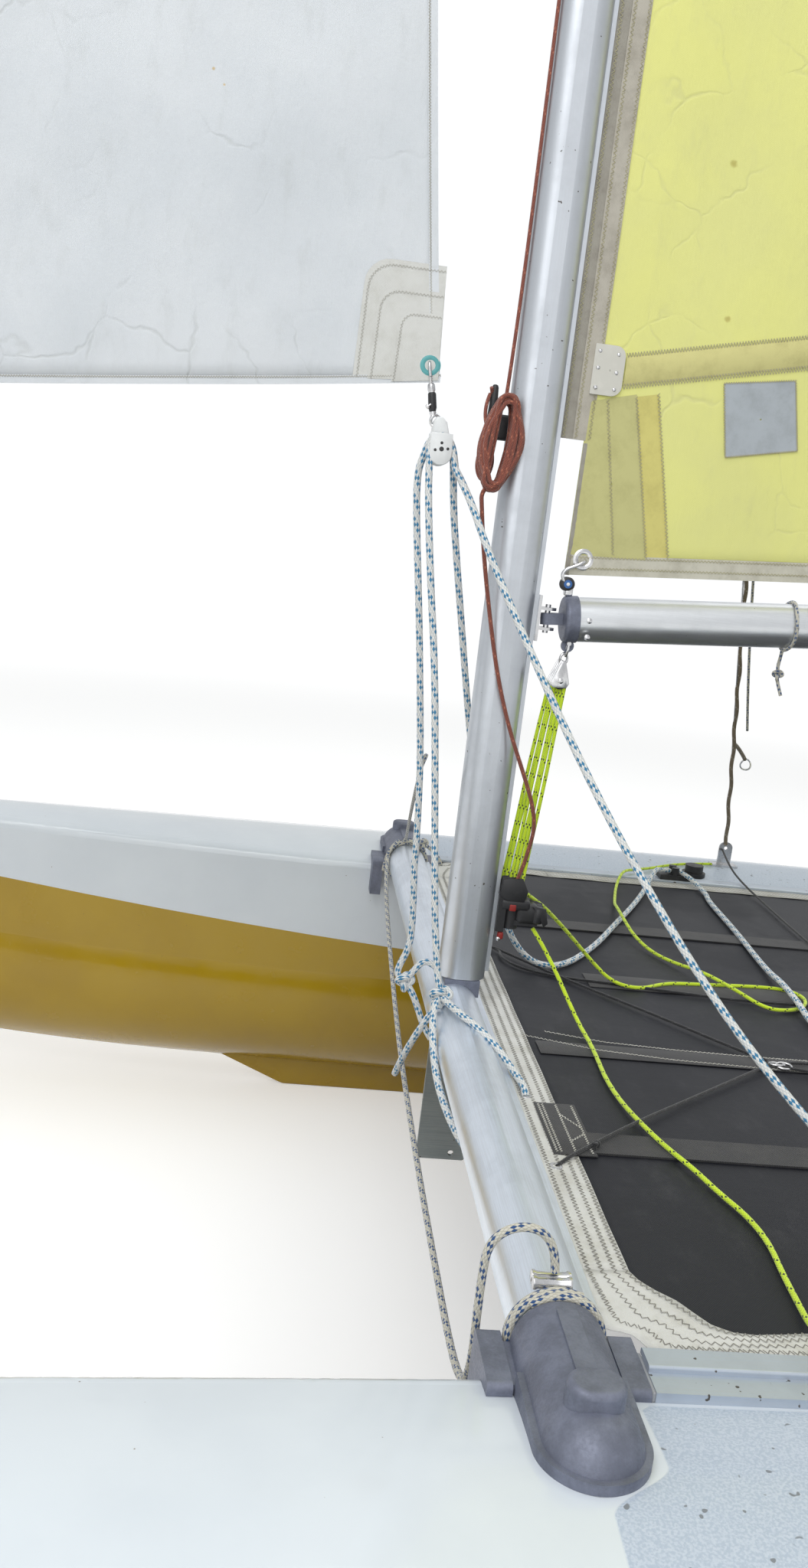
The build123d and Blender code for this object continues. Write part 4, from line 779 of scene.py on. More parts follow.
def dense(outline, step=12, closed=True):
    """Points along a polygon, at most a step apart."""
    points = []
    for a, b in zip(outline, [*outline[1:], *(outline[:1] if closed else ())]):
        count = max(1, round(dist(a, b) / step))
        points += [between(a, b, i / count) for i in range(count)]
    return points if closed else points + [outline[-1]]


def seam(shape, points, side, width=5, pitch=6, wave=sail_wave, offset=1.6, thread=0.9):
    """A row of zigzag stitches along points in X and Z, on one face of a sail."""
    shape.sew(on_sail(dense(points, 20, False), side * offset, wave), ACROSS, width, pitch, thread, side)


def leech_x(z):
    """X of the mainsail's leech at a height."""
    points = arc_through(SAIL_CLEW, ROACH, SAIL_HEAD, 60)
    for (x0, z0), (x1, z1) in zip(points, points[1:]):
        if z0 <= z <= z1:
            return x0 + (x1 - x0) * (z - z0) / (z1 - z0)


def make_mainsail():
    """The cloth with its luff tapes and foot tape. make_sail_trim adds the rest."""
    count, across = 120, 60
    rows = []
    for i, leech in enumerate(arc_through(SAIL_CLEW, ROACH, SAIL_HEAD, count)):
        luff = (SAIL_TACK[0] + (TACK_X - SAIL_TACK[0]) * min(1, 12 * i / count),
                SAIL_TACK[1] + (SAIL_HEAD[1] - SAIL_TACK[1]) * i / count)
        rows.append(on_sail(between(luff, leech, (j / across) ** 1.4) for j in range(across + 1)))
    sail = Shape().rows(rows).piece("mainsail_cloth", "sail_yellow", "boom", thickness=0.6)
    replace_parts(sail, "mainsail")
    tape, upper, foot, stitch = Shape(), Shape(), Shape(), Shape()
    for side in (1, -1):
        for shape, near, far, out in ((tape, LUFF_X, -80, 1.0), (upper, -69, -95, 1.8)):
            shape.rows([[place(x + (far - near) * j / 4, side * out + sail_wave(x, z), z) for j in range(5)]
                        for x, z in dense([(near, TAPE_END_Z), (near, SAIL_HEAD[1])], 40, False)])
        tape.rows([[place(x - 3.5 * j, side * 1.6 + sail_wave(x, z), z) for j in range(3)]
                   for x, z in dense([SAIL_TACK, (TACK_X, SAIL_TACK[1] + 440)], 20, False) if z < TAPE_END_Z])
        for x in (-92, -73, -56):
            seam(stitch, [(x, TAPE_END_Z + 2), (x, SAIL_HEAD[1])], side, 4, 5.5, offset=2.3)
    slope = (SAIL_CLEW[1] - SAIL_TACK[1]) / (SAIL_CLEW[0] - SAIL_TACK[0])
    for side in (1, -1):
        rows = []
        for x, _ in dense([(SAIL_TACK[0], 0), (SAIL_CLEW[0], 0)], 20, False):
            low = SAIL_TACK[1] + slope * (x - SAIL_TACK[0])
            rows.append(on_sail([(x, low + up) for up in (0, 14, 28)], side * 1.3))
        foot.rows(rows)
        for up in (25, 10):
            ends = [(SAIL_TACK[0] - 3, SAIL_TACK[1] + up), (SAIL_CLEW[0], SAIL_CLEW[1] + up)]
            seam(stitch, ends, side, 3, 5, offset=1.9)
    upper = upper.piece("mainsail_upper_tape", "sail_tape_top", "boom")
    tape = tape.piece("mainsail_luff_tape", "sail_tape", "boom")
    foot = foot.piece("mainsail_foot_tape", "foot_tape", "boom")
    make_sail_trim(stitch) + [tape, upper, foot]


def make_sail_trim(stitch):
    """Batten pockets with their end plates, the tack's patches, the blank patch and all stitching."""
    pockets, plates, rivets, layers, band, eye = (Shape() for _ in range(6))
    for z in BATTENS:
        front = -128 if z == BATTENS[0] else -100
        back = leech_x(z)
        for _ in range(4):
            back = leech_x(z + BATTEN_RISE * (front - back)) + 30
        for side in (1, -1):
            rows = []
            for x, _ in dense([(front, 0), (back, 0)], 15, False):
                middle = z + BATTEN_RISE * (front - x)
                rows.append([place(x, side * out + sail_wave(x, middle + up), middle + up)
                             for up, out in BATTEN_BULGE])
            pockets.rows(rows)
            for up in (-BATTEN_HALF - 2, BATTEN_HALF + 2, -BATTEN_HALF + 3):
                seam(stitch, [(front, z + up), (back, z + up + BATTEN_RISE * (front - back))], side, 6, 4)
        plate_z = z - 2
        outline = [(PLATE_FRONT_X, plate_z - PLATE_HALF), (PLATE_FRONT_X, plate_z + PLATE_HALF)]
        for up, angles in ((1, range(90, -1, -15)), (-1, range(0, 91, 15))):
            outline += [(PLATE_BACK_X - PLATE_ROUNDING * cos(a),
                         plate_z + up * (PLATE_HALF - PLATE_ROUNDING + PLATE_ROUNDING * sin(a)))
                        for a in map(radians, angles)]
        outline = dense(outline, 8)
        for side in (1, -1):
            plates.rows([on_sail(outline, side * 1.2), on_sail(outline, side * 4.4),
                         *patch_on(outline, side * 4.9)[1:]], closed=True)
            for x, up in PLATE_RIVETS:
                rivets.lathe((x, side * 4.4 + sail_wave(x, plate_z), plate_z + up), side * ACROSS, RIVET, 12)
    for side in (1, -1):
        for shape, outline, out in zip((layers, band), TACK_PATCHES, (1.4, 0.9)):
            shape.rows(patch_on(dense(outline), side * out), closed=True)
        for ends in TACK_SEAMS:
            seam(stitch, ends, side, 4, 5, offset=2.2)
        eye.lathe((-107, 0, 667), side * ACROSS, EYE, 28)
    blank = Shape().rows(patch_on(dense(BLANK_PATCH), 1.6), closed=True)
    seam(stitch, BLANK_PATCH + BLANK_PATCH[:1], 1, 2.5, 3.5, offset=2.2)
    trim = [shape.piece(name, finish, "boom", smooth=shape is not stitch) for shape, name, finish in (
        (pockets, "batten_pockets", "batten"), (plates, "batten_plates", "plate"),
        (rivets, "batten_rivets", "steel"), (layers, "tack_patch", "patch"),
        (band, "tack_patch_under", "patch_band"), (blank, "blank_patch", "blank"),
        (stitch, "mainsail_stitches", "thread_sail"), (eye, "tack_eye", "steel"))]
    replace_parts(trim[0], "battens")
    return trim


STAY_LOW = (1430, 560)
STAY_TOP = (42, 4300)
JIB_CLEW = (122, 878)
JIB_LEECH = (181, 1342)
JIB_FOOT = (699, 806)
JIB_TACK_Z = 738
JIB_HEAD_Z = 3360
CLEW_EYE = (138, 898)
CLEW_LAYERS = ((112, 146, 34), (92, 112, 26), (60, 84, 18))    # width, height and corner of each


def stay_x(z):
    return STAY_LOW[0] + (STAY_TOP[0] - STAY_LOW[0]) * (z - STAY_LOW[1]) / (STAY_TOP[1] - STAY_LOW[1])


def jib_wave(x, z):
    return 1.5 * sin(x / 83 + z / 121) + 1.0 * sin(z / 47 + x / 310) + 0.8 * sin((x + z) / 39)


def make_jib():
    """The cloth with the hems of its foot and leech, and the layers at its clew."""
    count, across = 90, 60
    leech = arc_through(JIB_CLEW, JIB_LEECH, (stay_x(JIB_HEAD_Z) - 11, JIB_HEAD_Z), count)
    foot = arc_through(JIB_CLEW, JIB_FOOT, (stay_x(JIB_TACK_Z) - 3, JIB_TACK_Z), across)
    rows = []
    for i in range(count + 1):
        z = JIB_TACK_Z + (JIB_HEAD_Z - JIB_TACK_Z) * i / count
        row = []
        for j in range(across + 1):
            flat = between(leech[i], (stay_x(z) - 3, z), j / across)
            base = between(leech[0], foot[-1], j / across)
            row.append([flat[k] + (foot[j][k] - base[k]) * (1 - i / count) ** 6 for k in (0, 1)])
        rows.append(on_sail(row, 0, jib_wave))
    sail = Shape().rows(rows).piece("jib_cloth", "sail_white", thickness=0.5)
    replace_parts(sail, "jib")
    hems, stitch, layers = Shape(), Shape(), Shape()
    for side in (1, -1):
        for edge, in_x, in_z in ((foot, 0, 11), (leech, 13, 0)):
            hems.rows([[place(x + in_x * step, side * 0.9 + jib_wave(x, z), z + in_z * step)
                        for step in (0, 0.5, 1)] for x, z in edge])
            seam(stitch, [(x + 0.82 * in_x, z + 0.82 * in_z) for x, z in edge[::2]], side, 2.6, 3.6, jib_wave,
                 1.3)
        for i, (wide, high, corner) in enumerate(CLEW_LAYERS):
            start = x0, z0 = JIB_CLEW[0] + 3, JIB_CLEW[1] + 2
            outline = [start, (x0 + 5, z0 + high)]
            outline += [(x0 + wide - corner + corner * sin(a), z0 + high - corner + corner * cos(a))
                        for a in map(radians, range(0, 91, 15))]
            outline.append((x0 + wide + 3, z0 - 9))
            layers.rows(patch_on(dense(outline, 10), side * (0.9 + 0.45 * i), jib_wave), closed=True)
            seam(stitch, [between(point, start, 0.05) for point in outline[1:]], side, 3, 4.6, jib_wave,
                 1.6 + 0.45 * i, 0.6)
    trim = [hems.piece("jib_hems", "sail_white"), layers.piece("jib_clew_patch", "jib_patch"),
            stitch.piece("jib_stitches", "thread_jib", smooth=False)]


# Trampoline

CLOTH_TOP = 1.5
TAPE_TOP = CLOTH_TOP + 0.7
TRAMP_FRONT_X = -42.5
TRAMP_BACK_X = -2028
TRAMP_HALF = 812.7
CLOTH_FRONT_X = TRAMP_FRONT_X - 42
TAPE_BACK_X = -95
CORNER_Y = 690           # here the front edge ends and the edge round a casting begins
CORNER_X = -300          # and here that edge becomes the side
TAPE_INNER_Y = 771
CORNER_INNER = [(-95, 690), (-101, 704), (-113, 718), (-128, 732), (-140, 750), (-152, 768), (-170, 778),
                (-191, 781), (-216, 778), (-243, 773), (-300, 771)]
CORNER_OUTER = [(TRAMP_FRONT_X, 690), (TRAMP_FRONT_X, 731), (TRAMP_FRONT_X, 771), (-44.5, 782), (-56, 785),
                (-70, 787), (-76, 794), (-79, 803), (-84, TRAMP_HALF), (-190, TRAMP_HALF), (-300, TRAMP_HALF)]
PALE_BORDERS = ([(-90, 114), (-191, 148), (-297, 163), (-413, 168), (-700, 172), (-1990, 172)],
                [(-126, 95), (-209, 118), (-308, 127), (-423, 130), (-700, 130), (-1990, 130)])
PATCH_SEAMS = (((-71, 335), (-71, 458)), ((-76, 335), (-76, 458)), ((-93, 335), (-93, 458)),
               ((-113, 335), (-113, 458)), ((-93, 360), (-113, 395)), ((-93, 430), (-113, 410)))
FRONT_EYES = ((-60, 312), (-63, 490), (-60, -312), (-63, -490))
TRAMP_EYE = [(0, 8), (1.0, 7.6), (1.4, 6), (1.0, 4), (0, 3.6)]
RAIL_ENDS = (-71.4, -2028.6)


def resample(points, count):
    line = [Vector((x, y, 0)) for x, y in points]
    return [(p.x, p.y) for p in even_line(line, line_length(line) / count)[:count + 1]]


def tape_edges():
    """The outer and inner line of each tape round the trampoline, with the number of its parts."""
    yield [[(x, y) for y in (-CORNER_Y, CORNER_Y)] for x in (TRAMP_FRONT_X, TAPE_BACK_X)], 70
    for side in (1, -1):
        yield [[(x, side * y) for x, y in resample(line, 36)] for line in (CORNER_OUTER, CORNER_INNER)], 36
        yield [[(x, side * y) for x in (CORNER_X, TRAMP_BACK_X + 40)] for y in (TRAMP_HALF, TAPE_INNER_Y)], 80
    yield [[(x, y) for y in (-760, 760)] for x in (TRAMP_BACK_X, TRAMP_BACK_X + 50)], 70


def make_trampoline():
    """The cloth, cut out round the front castings, with its tapes, seams, strips, patches and eyelets."""
    across = [j / 40 - 1 for j in range(81)]
    rows = []
    for x in (CLOTH_FRONT_X + (TRAMP_BACK_X - CLOTH_FRONT_X) * i / 99 for i in range(100)):
        row = []
        for y in (TRAMP_HALF * share for share in across):
            swell = 0.8 * sin(x / 150) * sin(y / 110)
            row.append(place(x, y, CLOTH_TOP - 1 + swell * max(0, 1 - abs(y) / 780)))
        rows.append(row)
    cloth = Shape().rows(rows)
    cloth.rows([[place(x, 770 * share, CLOTH_TOP - 1) for share in across]
                for x in (TRAMP_FRONT_X, CLOTH_FRONT_X)])
    cloth = cloth.piece("trampoline_cloth", "tramp_cloth", thickness=0.8)
    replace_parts(cloth, "trampoline")
    tape, stitch, pale, strips, patch, eyes = (Shape() for _ in range(6))
    for lines, count in tape_edges():
        ends = list(zip(*(resample(line, count) for line in lines)))
        tape.rows([[place(*between(a, b, j / 6), TAPE_TOP + 0.5 * sin(a[0] / 19 + a[1] / 23 + j))
                    for j in range(7)] for a, b in ends])
        for share in (0.22, 0.47, 0.72, 0.93):
            stitch.sew([place(*between(a, b, share), TAPE_TOP + 0.9) for a, b in ends], UP, 5, 7, 1.0)
    for border in PALE_BORDERS:
        pale.sew([place(x, y, CLOTH_TOP + 1.4) for x, y in dense(border, 20, False)], UP, 4, 6, 1.0)
    strips.rounded_box((-1046, 151, CLOTH_TOP + 0.6), (1880, 44, 0.9), 0.4)
    strips.rounded_box((-1115, -140, CLOTH_TOP + 0.8), (1750, 62, 1.4), 0.6)
    for side in (1, -1):
        patch.rounded_box((-92, side * 397, CLOTH_TOP + 1.4), (52, 132, 1.8), 0.7)
        for a, b in PATCH_SEAMS:
            points = (between(a, b, i / 8) for i in range(9))
            line = [place(x, side * y, CLOTH_TOP + 2.5) for x, y in points]
            pale.stitches(line, (line[-1] - line[0]).normalized().cross(UP), UP, 3, 5, 0.8)
    for x, y in FRONT_EYES:
        eyes.lathe((x, y, TAPE_TOP), UP, TRAMP_EYE, 20)
    tape = tape.piece("trampoline_tape", "tape", thickness=0.5)
    strips = strips.piece("trampoline_strips", "webbing")
    patch = patch.piece("trampoline_patch", "webbing")
    stitch = stitch.piece("trampoline_stitches", "thread_dark", smooth=False)
    pale = pale.piece("trampoline_pale_stitches", "thread_pale", smooth=False)
    eyes = eyes.piece("trampoline_eyes", "steel")


def make_rail_ends():
    """A plastic plug in each end of the two rails, which closes the gap to the casting's ear."""
    plugs = Shape()
    for side in (1, -1):
        for x in RAIL_ENDS:
            plugs.rounded_box((x, side * 839.5, -3), (3.4, 53, 9), 1.2)
    plugs.piece("rail_ends", "rail_plug")


# Rigging that only the scene has

def rope_piece(name, strands, diameter, finish, body="root", sides=12):
    shape = Shape()
    for points in strands:
        shape.tube(smooth_line(name, points), diameter / 2, sides)
    return shape.piece(name, finish, body)


def knot(centre, size, turn):
    """The line of an overhand knot."""
    points = []
    for t in (tau * i / 42 + 0.5 for i in range(43)):
        a, b, c = sin(t) + 2 * sin(2 * t), cos(t) - 2 * cos(2 * t), -1.2 * sin(3 * t)
        way = (a * cos(turn) - c * sin(turn), a * sin(turn) + c * cos(turn), b)
        points.append([middle + reach * size / 6 for middle, reach in zip(centre, way)])
    return points


def make_sheet_falls():
    """The jib sheet over the clew block's sheaves, its standing parts down to the beam and their hitches."""
    starboard_fall = [
        (88, -13, 767), (90, -12, 783), (97, -10, 802), (111, -8, 812), (125, -8, 804), (131, -8, 785),
        (138, -10, 757), (131, -12, 693), (112, -15, 567), (97, -18, 455), (83, -20, 341), (76, -22, 237),
        (75, -23, 199), (70, -24, 149), (66, -25, 95), (69, -26, 65), (79, -28, 40), (81, -26, 24),
        (68, -22, 18)]
    port_fall = [
        (89, 14, 768), (92, 12, 785), (99, 10, 803), (111, 8, 812), (122, 8, 806), (127, 10, 792),
        (125, 14, 772), (122, 20, 729), (108, 32, 625), (88, 46, 501), (74, 60, 376), (62, 72, 263),
        (55, 80, 198), (50, 85, 153), (43, 90, 108), (37, 95, 68), (30, 100, 46)]
    to_step = [(67, -22, 20), (52, -26, 42), (40, -26, 52), (26, -22, 46), (12, -18, 38)]
    to_plate = [(66, -22, 16), (56, -20, 4), (43, -19, -24), (34, -12, -46), (21, -2, -62)]
    under_beam = [
        (31, 100, 44), (38, 112, 40), (43, 135, 28), (44, 160, 12), (44, 190, -4), (42, 225, -20),
        (38, 270, -30), (31, 330, -36), (20, 375, -42), (4, 400, -46), (-16, 415, -46), (-42, 430, -32),
        (-58, 440, -14), (-60, 446, -2)]
    to_cloth = [
        (28, 104, 45), (23, 128, 46), (8, 166, 45), (-12, 196, 40), (-32, 222, 29), (-49, 250, 13),
        (-58, 284, 8), (-60, 304, 7), (-60, 312, 1)]
    to_tail = [(32, 102, 43), (37, 100, 36), (39, 98, 28), (38.6, 97, 20)]
    strands = [starboard_fall, port_fall, to_step, to_plate, under_beam, to_cloth, to_tail,
               knot((68, -22, 18), 24, 0.6), knot((30, 101, 45), 27, 0.3)]
    rope_piece("sheet_falls", strands, SHEET_ROPE, "rope", sides=14)
    stray = [[(84, -26, 352), (82, -28, 338), (62, -240, 262), (34, -520, 158), (8, -780, 52)],
             [(84, -26, 340), (80, -24, 352), (77, -20, 366)]]
    rope_piece("stray_line", stray, THIN_ROPE, "cream_rope")


LASHING_RADIUS = 42.8
LASHING_Y = (799.5, 791)
LASHING_STEPS = 35       # sixteenths of a turn
LASHING_START = 0.9


def make_beam_lashings():
    """Two turns of cream rope round the front beam at each casting, and a looser third on the far side."""
    strands = []
    for side in (1, -1):
        strand = []
        for i in range(LASHING_STEPS + 1):
            angle = LASHING_START + tau * i / 16
            y = LASHING_Y[0] + (LASHING_Y[1] - LASHING_Y[0]) * i / LASHING_STEPS
            strand.append((LASHING_RADIUS * cos(angle), side * y, LASHING_RADIUS * sin(angle)))
        strands.append(strand)
    strands.append([(12, -786, 48), (-20, -785, 47), (-50, -783, 36), (-74, -781, 6), (-72, -782, -28),
                    (-48, -784, -48), (-12, -785, -50)])
    strands.append([(20, -784, 46), (34, -782, 36), (46, -781, 4), (47, -782, -20)])
    strands.append(knot((-30, -783, 45), 20, 0.9))
    rope_piece("beam_lashings", strands, LINE_ROPE, "cream_rope", sides=14)


def make_cross_sheet():
    """The rest of the jib sheet, which lies across the trampoline from one sheet cleat to the other."""
    points = [
        (-600, -832, 24), (-618, -805, 20), (-628, -770, 10), (-630, -720, 7.5), (-618, -673, 7.5),
        (-607, -476, 7.5), (-590, -300, 7.5), (-583, -225, 10), (-577, -170, 17), (-572, -120, 19),
        (-570, -70, 16), (-568, -20, 8), (-567, 60, 7.5), (-572, 200, 7.5), (-582, 380, 7.5), (-590, 430, 10),
        (-598, 480, 7.5), (-606, 620, 7.5), (-612, 740, 8), (-614, 790, 18), (-606, 820, 25), (-600, 832, 24)]
    line = smooth_line("cross_sheet", points)
    cross = Shape().tube(line, SHEET_ROPE / 2, 14).piece("cross_sheet", "rope")
    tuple(line[0])
    line_length(line)


BLOCK = (111.5, 791)     # X and Z of the clew block's axle
CLEW_RING = [(1, 14.5), (3, 14.5), (4.4, 12), (4.4, 8), (2.2, 5.5), (1.6, 0)]
BLOCK_SHEAVE = [(0, 15), (1, 17.5), (3, 15), (7, 15), (9, 17.5), (10, 15)]


def make_clew_block():
    """The ringed eye at the jib's clew, the snap shackle with its dark fid, and the white double block."""
    rings, steel, white, dark = Shape(), Shape(), Shape(), Shape()
    for side in (1, -1):
        rings.lathe((CLEW_EYE[0], 0, CLEW_EYE[1]), side * ACROSS, CLEW_RING, 32)
    for bow in ([(136, 6, 884), (139, 7, 896), (139, 3, 903), (139, -3, 903), (139, -7, 896), (136, -6, 884),
                 (134, -2, 874), (133, 0, 868)], [(136, 6, 884), (134, 2, 874), (133, 0, 868)]):
        steel.tube(smooth_line("bow", bow), 2.2, 10)
    steel.lathe((133.5, 0, 876), Vector((-2.5, 0, -14)), [(0, 3), (2, 5), (9, 5.4), (13, 4)], 16)
    dark.lathe((131, 0, 864), Vector((-4, 0, -26)), [(0, 4.6), (2, 5.6), (20, 5.8), (25, 4.4)], 16)
    steel.lathe((127.5, 0, 841), Vector((-2.5, 0, -10)), [(0, 4), (3, 4.8), (8, 3.4)], 14)
    steel.lathe((129, 3, 850), Vector((9, 3, -8)), [(0, 1.6), (7, 1.6), (8, 3.2), (10, 3), (11, 1)], 12)
    steel.tube(ring(lambda a: (122 + 6.5 * cos(a), 2 * sin(2 * a), 828 + 7.5 * sin(a))), 2.3, 10)
    x0, z0 = BLOCK
    below = [(15.5 * cos(a), -6 - 15.5 * sin(a)) for a in map(radians, range(10, 171, 16))]
    cheek, head = ([(x0 + x, z0 + z) for x, z in outline] for outline in (
        [(15.5, 21), (15.5, -2), *below, (-15.5, -2), (-14, 21)],
        [(14.5, 16), (13, 36), (9, 42), (1, 42), (-5, 36), (-11, 16)]))
    for low, high in ((14.5, 18), (-1.8, 1.8), (-18, -14.5)):
        white.plate(cheek, low, high, 1.3)
    white.plate(head, -12, 12, 2.5)
    for low in (3, -13):
        dark.lathe((x0, low, z0), ACROSS, BLOCK_SHEAVE, 28)
    for x, z, size in ((0, 8, 2), (-0.5, 0, 3.2), (8, -2, 2), (-9, 1, 2)):
        for side in (1, -1):
            dark.lathe((x0 + x, side * 17.4, z0 + z), side * ACROSS,
                       [(0, size), (0.9, size), (1.1, size * 0.6)], 12)
    rings.piece("clew_ring", "teal")
    steel.piece("clew_shackle", "steel")
    dark.piece("clew_block_sheaves", "black_plastic")
    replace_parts(white.piece("clew_block_cheeks", "white_plastic"), "clew_block")


TOP_BLOCK = [(-94, 524), (-100, 524), (-109, 493), (-105, 486), (-86, 486), (-82, 493)]
LOW_BLOCK = [(-54, 200), (-50, 176), (-62, 168), (-88, 168), (-92, 184), (-82, 203)]
CLEAT_ARM = [(-101, 164), (-122, 160), (-127, 138), (-121, 132), (-112, 150)]
SHACKLE_PIN = [(0, 3.4), (3, 3.4), (3.2, 2), (17, 2), (17.2, 3.2), (20, 3.2)]
BLOCK_PIN = [(0, 2.5), (1, 4), (2, 2.4), (33, 2.4), (34, 4), (35, 2.5)]
TOP_SHEAVE = [(0, 9), (0.8, 10.5), (3, 8.6), (5, 8.6), (7.2, 10.5), (8, 9)]
LOW_SHEAVE = [(0, 9), (0.8, 11), (3, 9), (4, 9), (6.2, 11), (7, 9)]
SCREW = [(0, 3.6), (1.4, 3.2), (2.2, 1.4), (2.3, 0)]


def make_tackle():
    """The downhaul tackle: shackle and small block under the boom's end, six parts of rope to the cleat."""
    steel, sheaves, dark, red = Shape(), Shape(), Shape(), Shape()
    steel.tube(smooth_line("bow", [(-102, -7, 549), (-102, -8, 541), (-101, -5, 533), (-101, 0, 530),
                                   (-101, 5, 533), (-102, 8, 541), (-102, 7, 549)]), 2, 10)
    steel.lathe((-102, -10, 549), ACROSS, SHACKLE_PIN, 12)
    steel.tube(ring(lambda a: (-99 + 5.5 * cos(a), 2.2 * sin(a + 1), 526 + 8 * sin(a)), 22), 1.9, 10)
    for low, high in ((-16, -14.5), (-5.8, -4.6), (4.6, 5.8), (14.5, 16)):
        steel.plate(TOP_BLOCK, low, high, 0.5)
    steel.lathe((-96, -17.5, 496), ACROSS, BLOCK_PIN, 14)
    for low in (-14, -4, 6):
        sheaves.lathe((-96, low, 494), ACROSS, TOP_SHEAVE, 24)
    for low in (-13, -3, 7):
        sheaves.lathe((-68, low, 190), ACROSS, LOW_SHEAVE, 24)
    steel.piece("tackle_block", "steel", "boom")
    strands = []
    for i in range(6):
        top, low = (-86 - 3.6 * i, -11 + 4.4 * i, 492), (-56 - 5 * i, -12 + 4.6 * i, 192 - 2 * i)
        strand = [top]
        for t in (0.2, 0.4, 0.6, 0.8):
            x, y, z = between(top, low, t)
            strand.append((x + 1.2 * sin(3 * i + 5 * t), y + 1.5 * sin(2 * i + 4 * t), z))
        strands.append(strand + [low])
    tackle = rope_piece("tackle_parts", strands, 5.6, "rope_neon", None, 8)
    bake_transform(tackle)
    for low, high in ((-16, -13.6), (-4.6, -3.4), (5.4, 6.4), (14.6, 17)):
        dark.plate(LOW_BLOCK, low, high, 0.7)
    dark.rounded_box((-76, 0, 162), (44, 34, 16), 5)
    dark.rounded_box((-96, 0, 148), (34, 30, 30), 8)
    for y in (-9, 9):
        dark.lathe((-112, y, 136), UP, [(0, 7), (2, 9), (22, 9), (24, 7)], 16)
    for low, high in ((-17, -14), (14, 17)):
        dark.plate(CLEAT_ARM, low, high, 1)
    red.rounded_box((-72, 16, 158), (10, 4, 10), 1.6)
    red.rounded_box((-60, 9, 113), (9, 10, 12), 3)
    for z in (188, 124, 108):
        Shape().lathe((-57, 12.4, z), ACROSS, SCREW, 14).piece(f"cleat_screw_{z}", "steel", "mast")
    sheaves.piece("tackle_sheaves", "black_plastic", "mast")
    dark.piece("swivel_cleat_body", "black_plastic", "mast")
    red.piece("swivel_cleat_marks", "red_plastic", "mast")


BOOM_RIVET = [(0, 4.4), (2.6, 4), (3.6, 2), (3.8, 0)]
TACK_SHEAVE = [(0, 8), (1.5, 10), (5, 8), (9, 8), (13.5, 10), (15, 8.6)]
BOOM_Z = 607.5


def make_boom_fittings():
    """The tack's hook and small sheave over the boom's end, rivets, and a knotted tail round the boom."""
    steel, dark, blue, white = Shape(), Shape(), Shape(), Shape()
    steel.tube(smooth_line("hook", [(-108, -7, 665), (-111, 0, 666), (-108, 8, 665), (-101, 10, 660),
                                    (-93, 9, 656), (-84, 8, 652), (-79, 7, 645), (-81, 6, 637),
                                    (-86, 5, 631)]), 2.5, 10)
    steel.rounded_box((-92, 0, 622), (12, 15, 15), 3)
    for z in (585, 562):
        for side in (1, -1):
            steel.lathe((-121, side * 29.5, z), side * ACROSS, BOOM_RIVET, 14)
    dark.lathe((-89, -7, 631), ACROSS, TACK_SHEAVE, 24)
    blue.lathe((-89, 8, 631), ACROSS, [(0, 6), (0.8, 5.6), (1, 4)], 20)
    white.lathe((-89, 8.6, 631), ACROSS, [(0, 2.6), (1.2, 2.4), (1.8, 1)], 14)
    steel.piece("boom_hardware", "steel", "boom")
    dark.piece("tack_sheave", "black_plastic", "boom")
    blue.piece("tack_sheave_ring", "blue_plastic", "boom")
    white.piece("tack_sheave_cap", "white_plastic", "boom")
    loop = [(-417 + 1.5 * sin(3 * a), 35 * cos(a), BOOM_Z + 35 * sin(a))
            for a in (tau * i / 20 for i in range(21))]
    tail = [(-417, -6, 573), (-418, -10, 562), (-417, -12, 550), (-418, -12, 540), (-419, -12, 530),
            (-423, -12, 519), (-428, -10, 506)]
    rope_piece("boom_tail", [loop, tail, knot((-419, -12, 536), 15, 0.4)], 5, "cream_rope", "boom")


SHROUD_LOW = (-760, 1000, 52)
SHROUD_TOP = (-14, 26, 4300)
WIRE_TOP_Z = 4080        # a trapeze wire joins its shroud here, clear of the turning mast


def along_shroud(side, z, back=0.0, out=0.0):
    x, y, _ = between(SHROUD_LOW, SHROUD_TOP, (z - SHROUD_LOW[2]) / (SHROUD_TOP[2] - SHROUD_LOW[2]))
    return (x - back, side * (y + out), z)


def make_trapeze_lines():
    """Beside each shroud: a brown lashing over its lower end, a trapeze wire with a ring, its pale line."""
    brown, pale, wire = [], [], Shape()
    for side in (1, -1):
        brown.append([along_shroud(side, z, 1.8 * sin(z / 14), 1.8 * cos(z / 14))
                      for z in range(56, 1050, 12)])
        brown.append([along_shroud(side, *spot) for spot in ((300, 2, 0), (290, 18, 12), (262, 40, 30))])
        pale.append([along_shroud(side, *spot) for spot in (
            (330, 40, 30), (420, 30, 20), (620, 17, 4), (900, 14, 2), (1180, 12, 2))])
        x, y, z = along_shroud(side, 250, 42, 30)
        wire.tube(ring(lambda a: (x + 12 * cos(a), y + 3 * sin(2 * a), z + 12 * sin(a))), 2, 8)
        wire.tube([place(*along_shroud(side, z, 12 * (WIRE_TOP_Z - z) / 2900, 2 * (WIRE_TOP_Z - z) / 2900))
                   for z in (1175, 2000, 3200, WIRE_TOP_Z)], 1.4, 8)
    rope_piece("shroud_lashings", brown, 9, "brown_rope", sides=10)
    rope_piece("trapeze_lines", pale, THIN_ROPE, "cream_rope", sides=10)
    wire.piece("trapeze_wires", "steel")


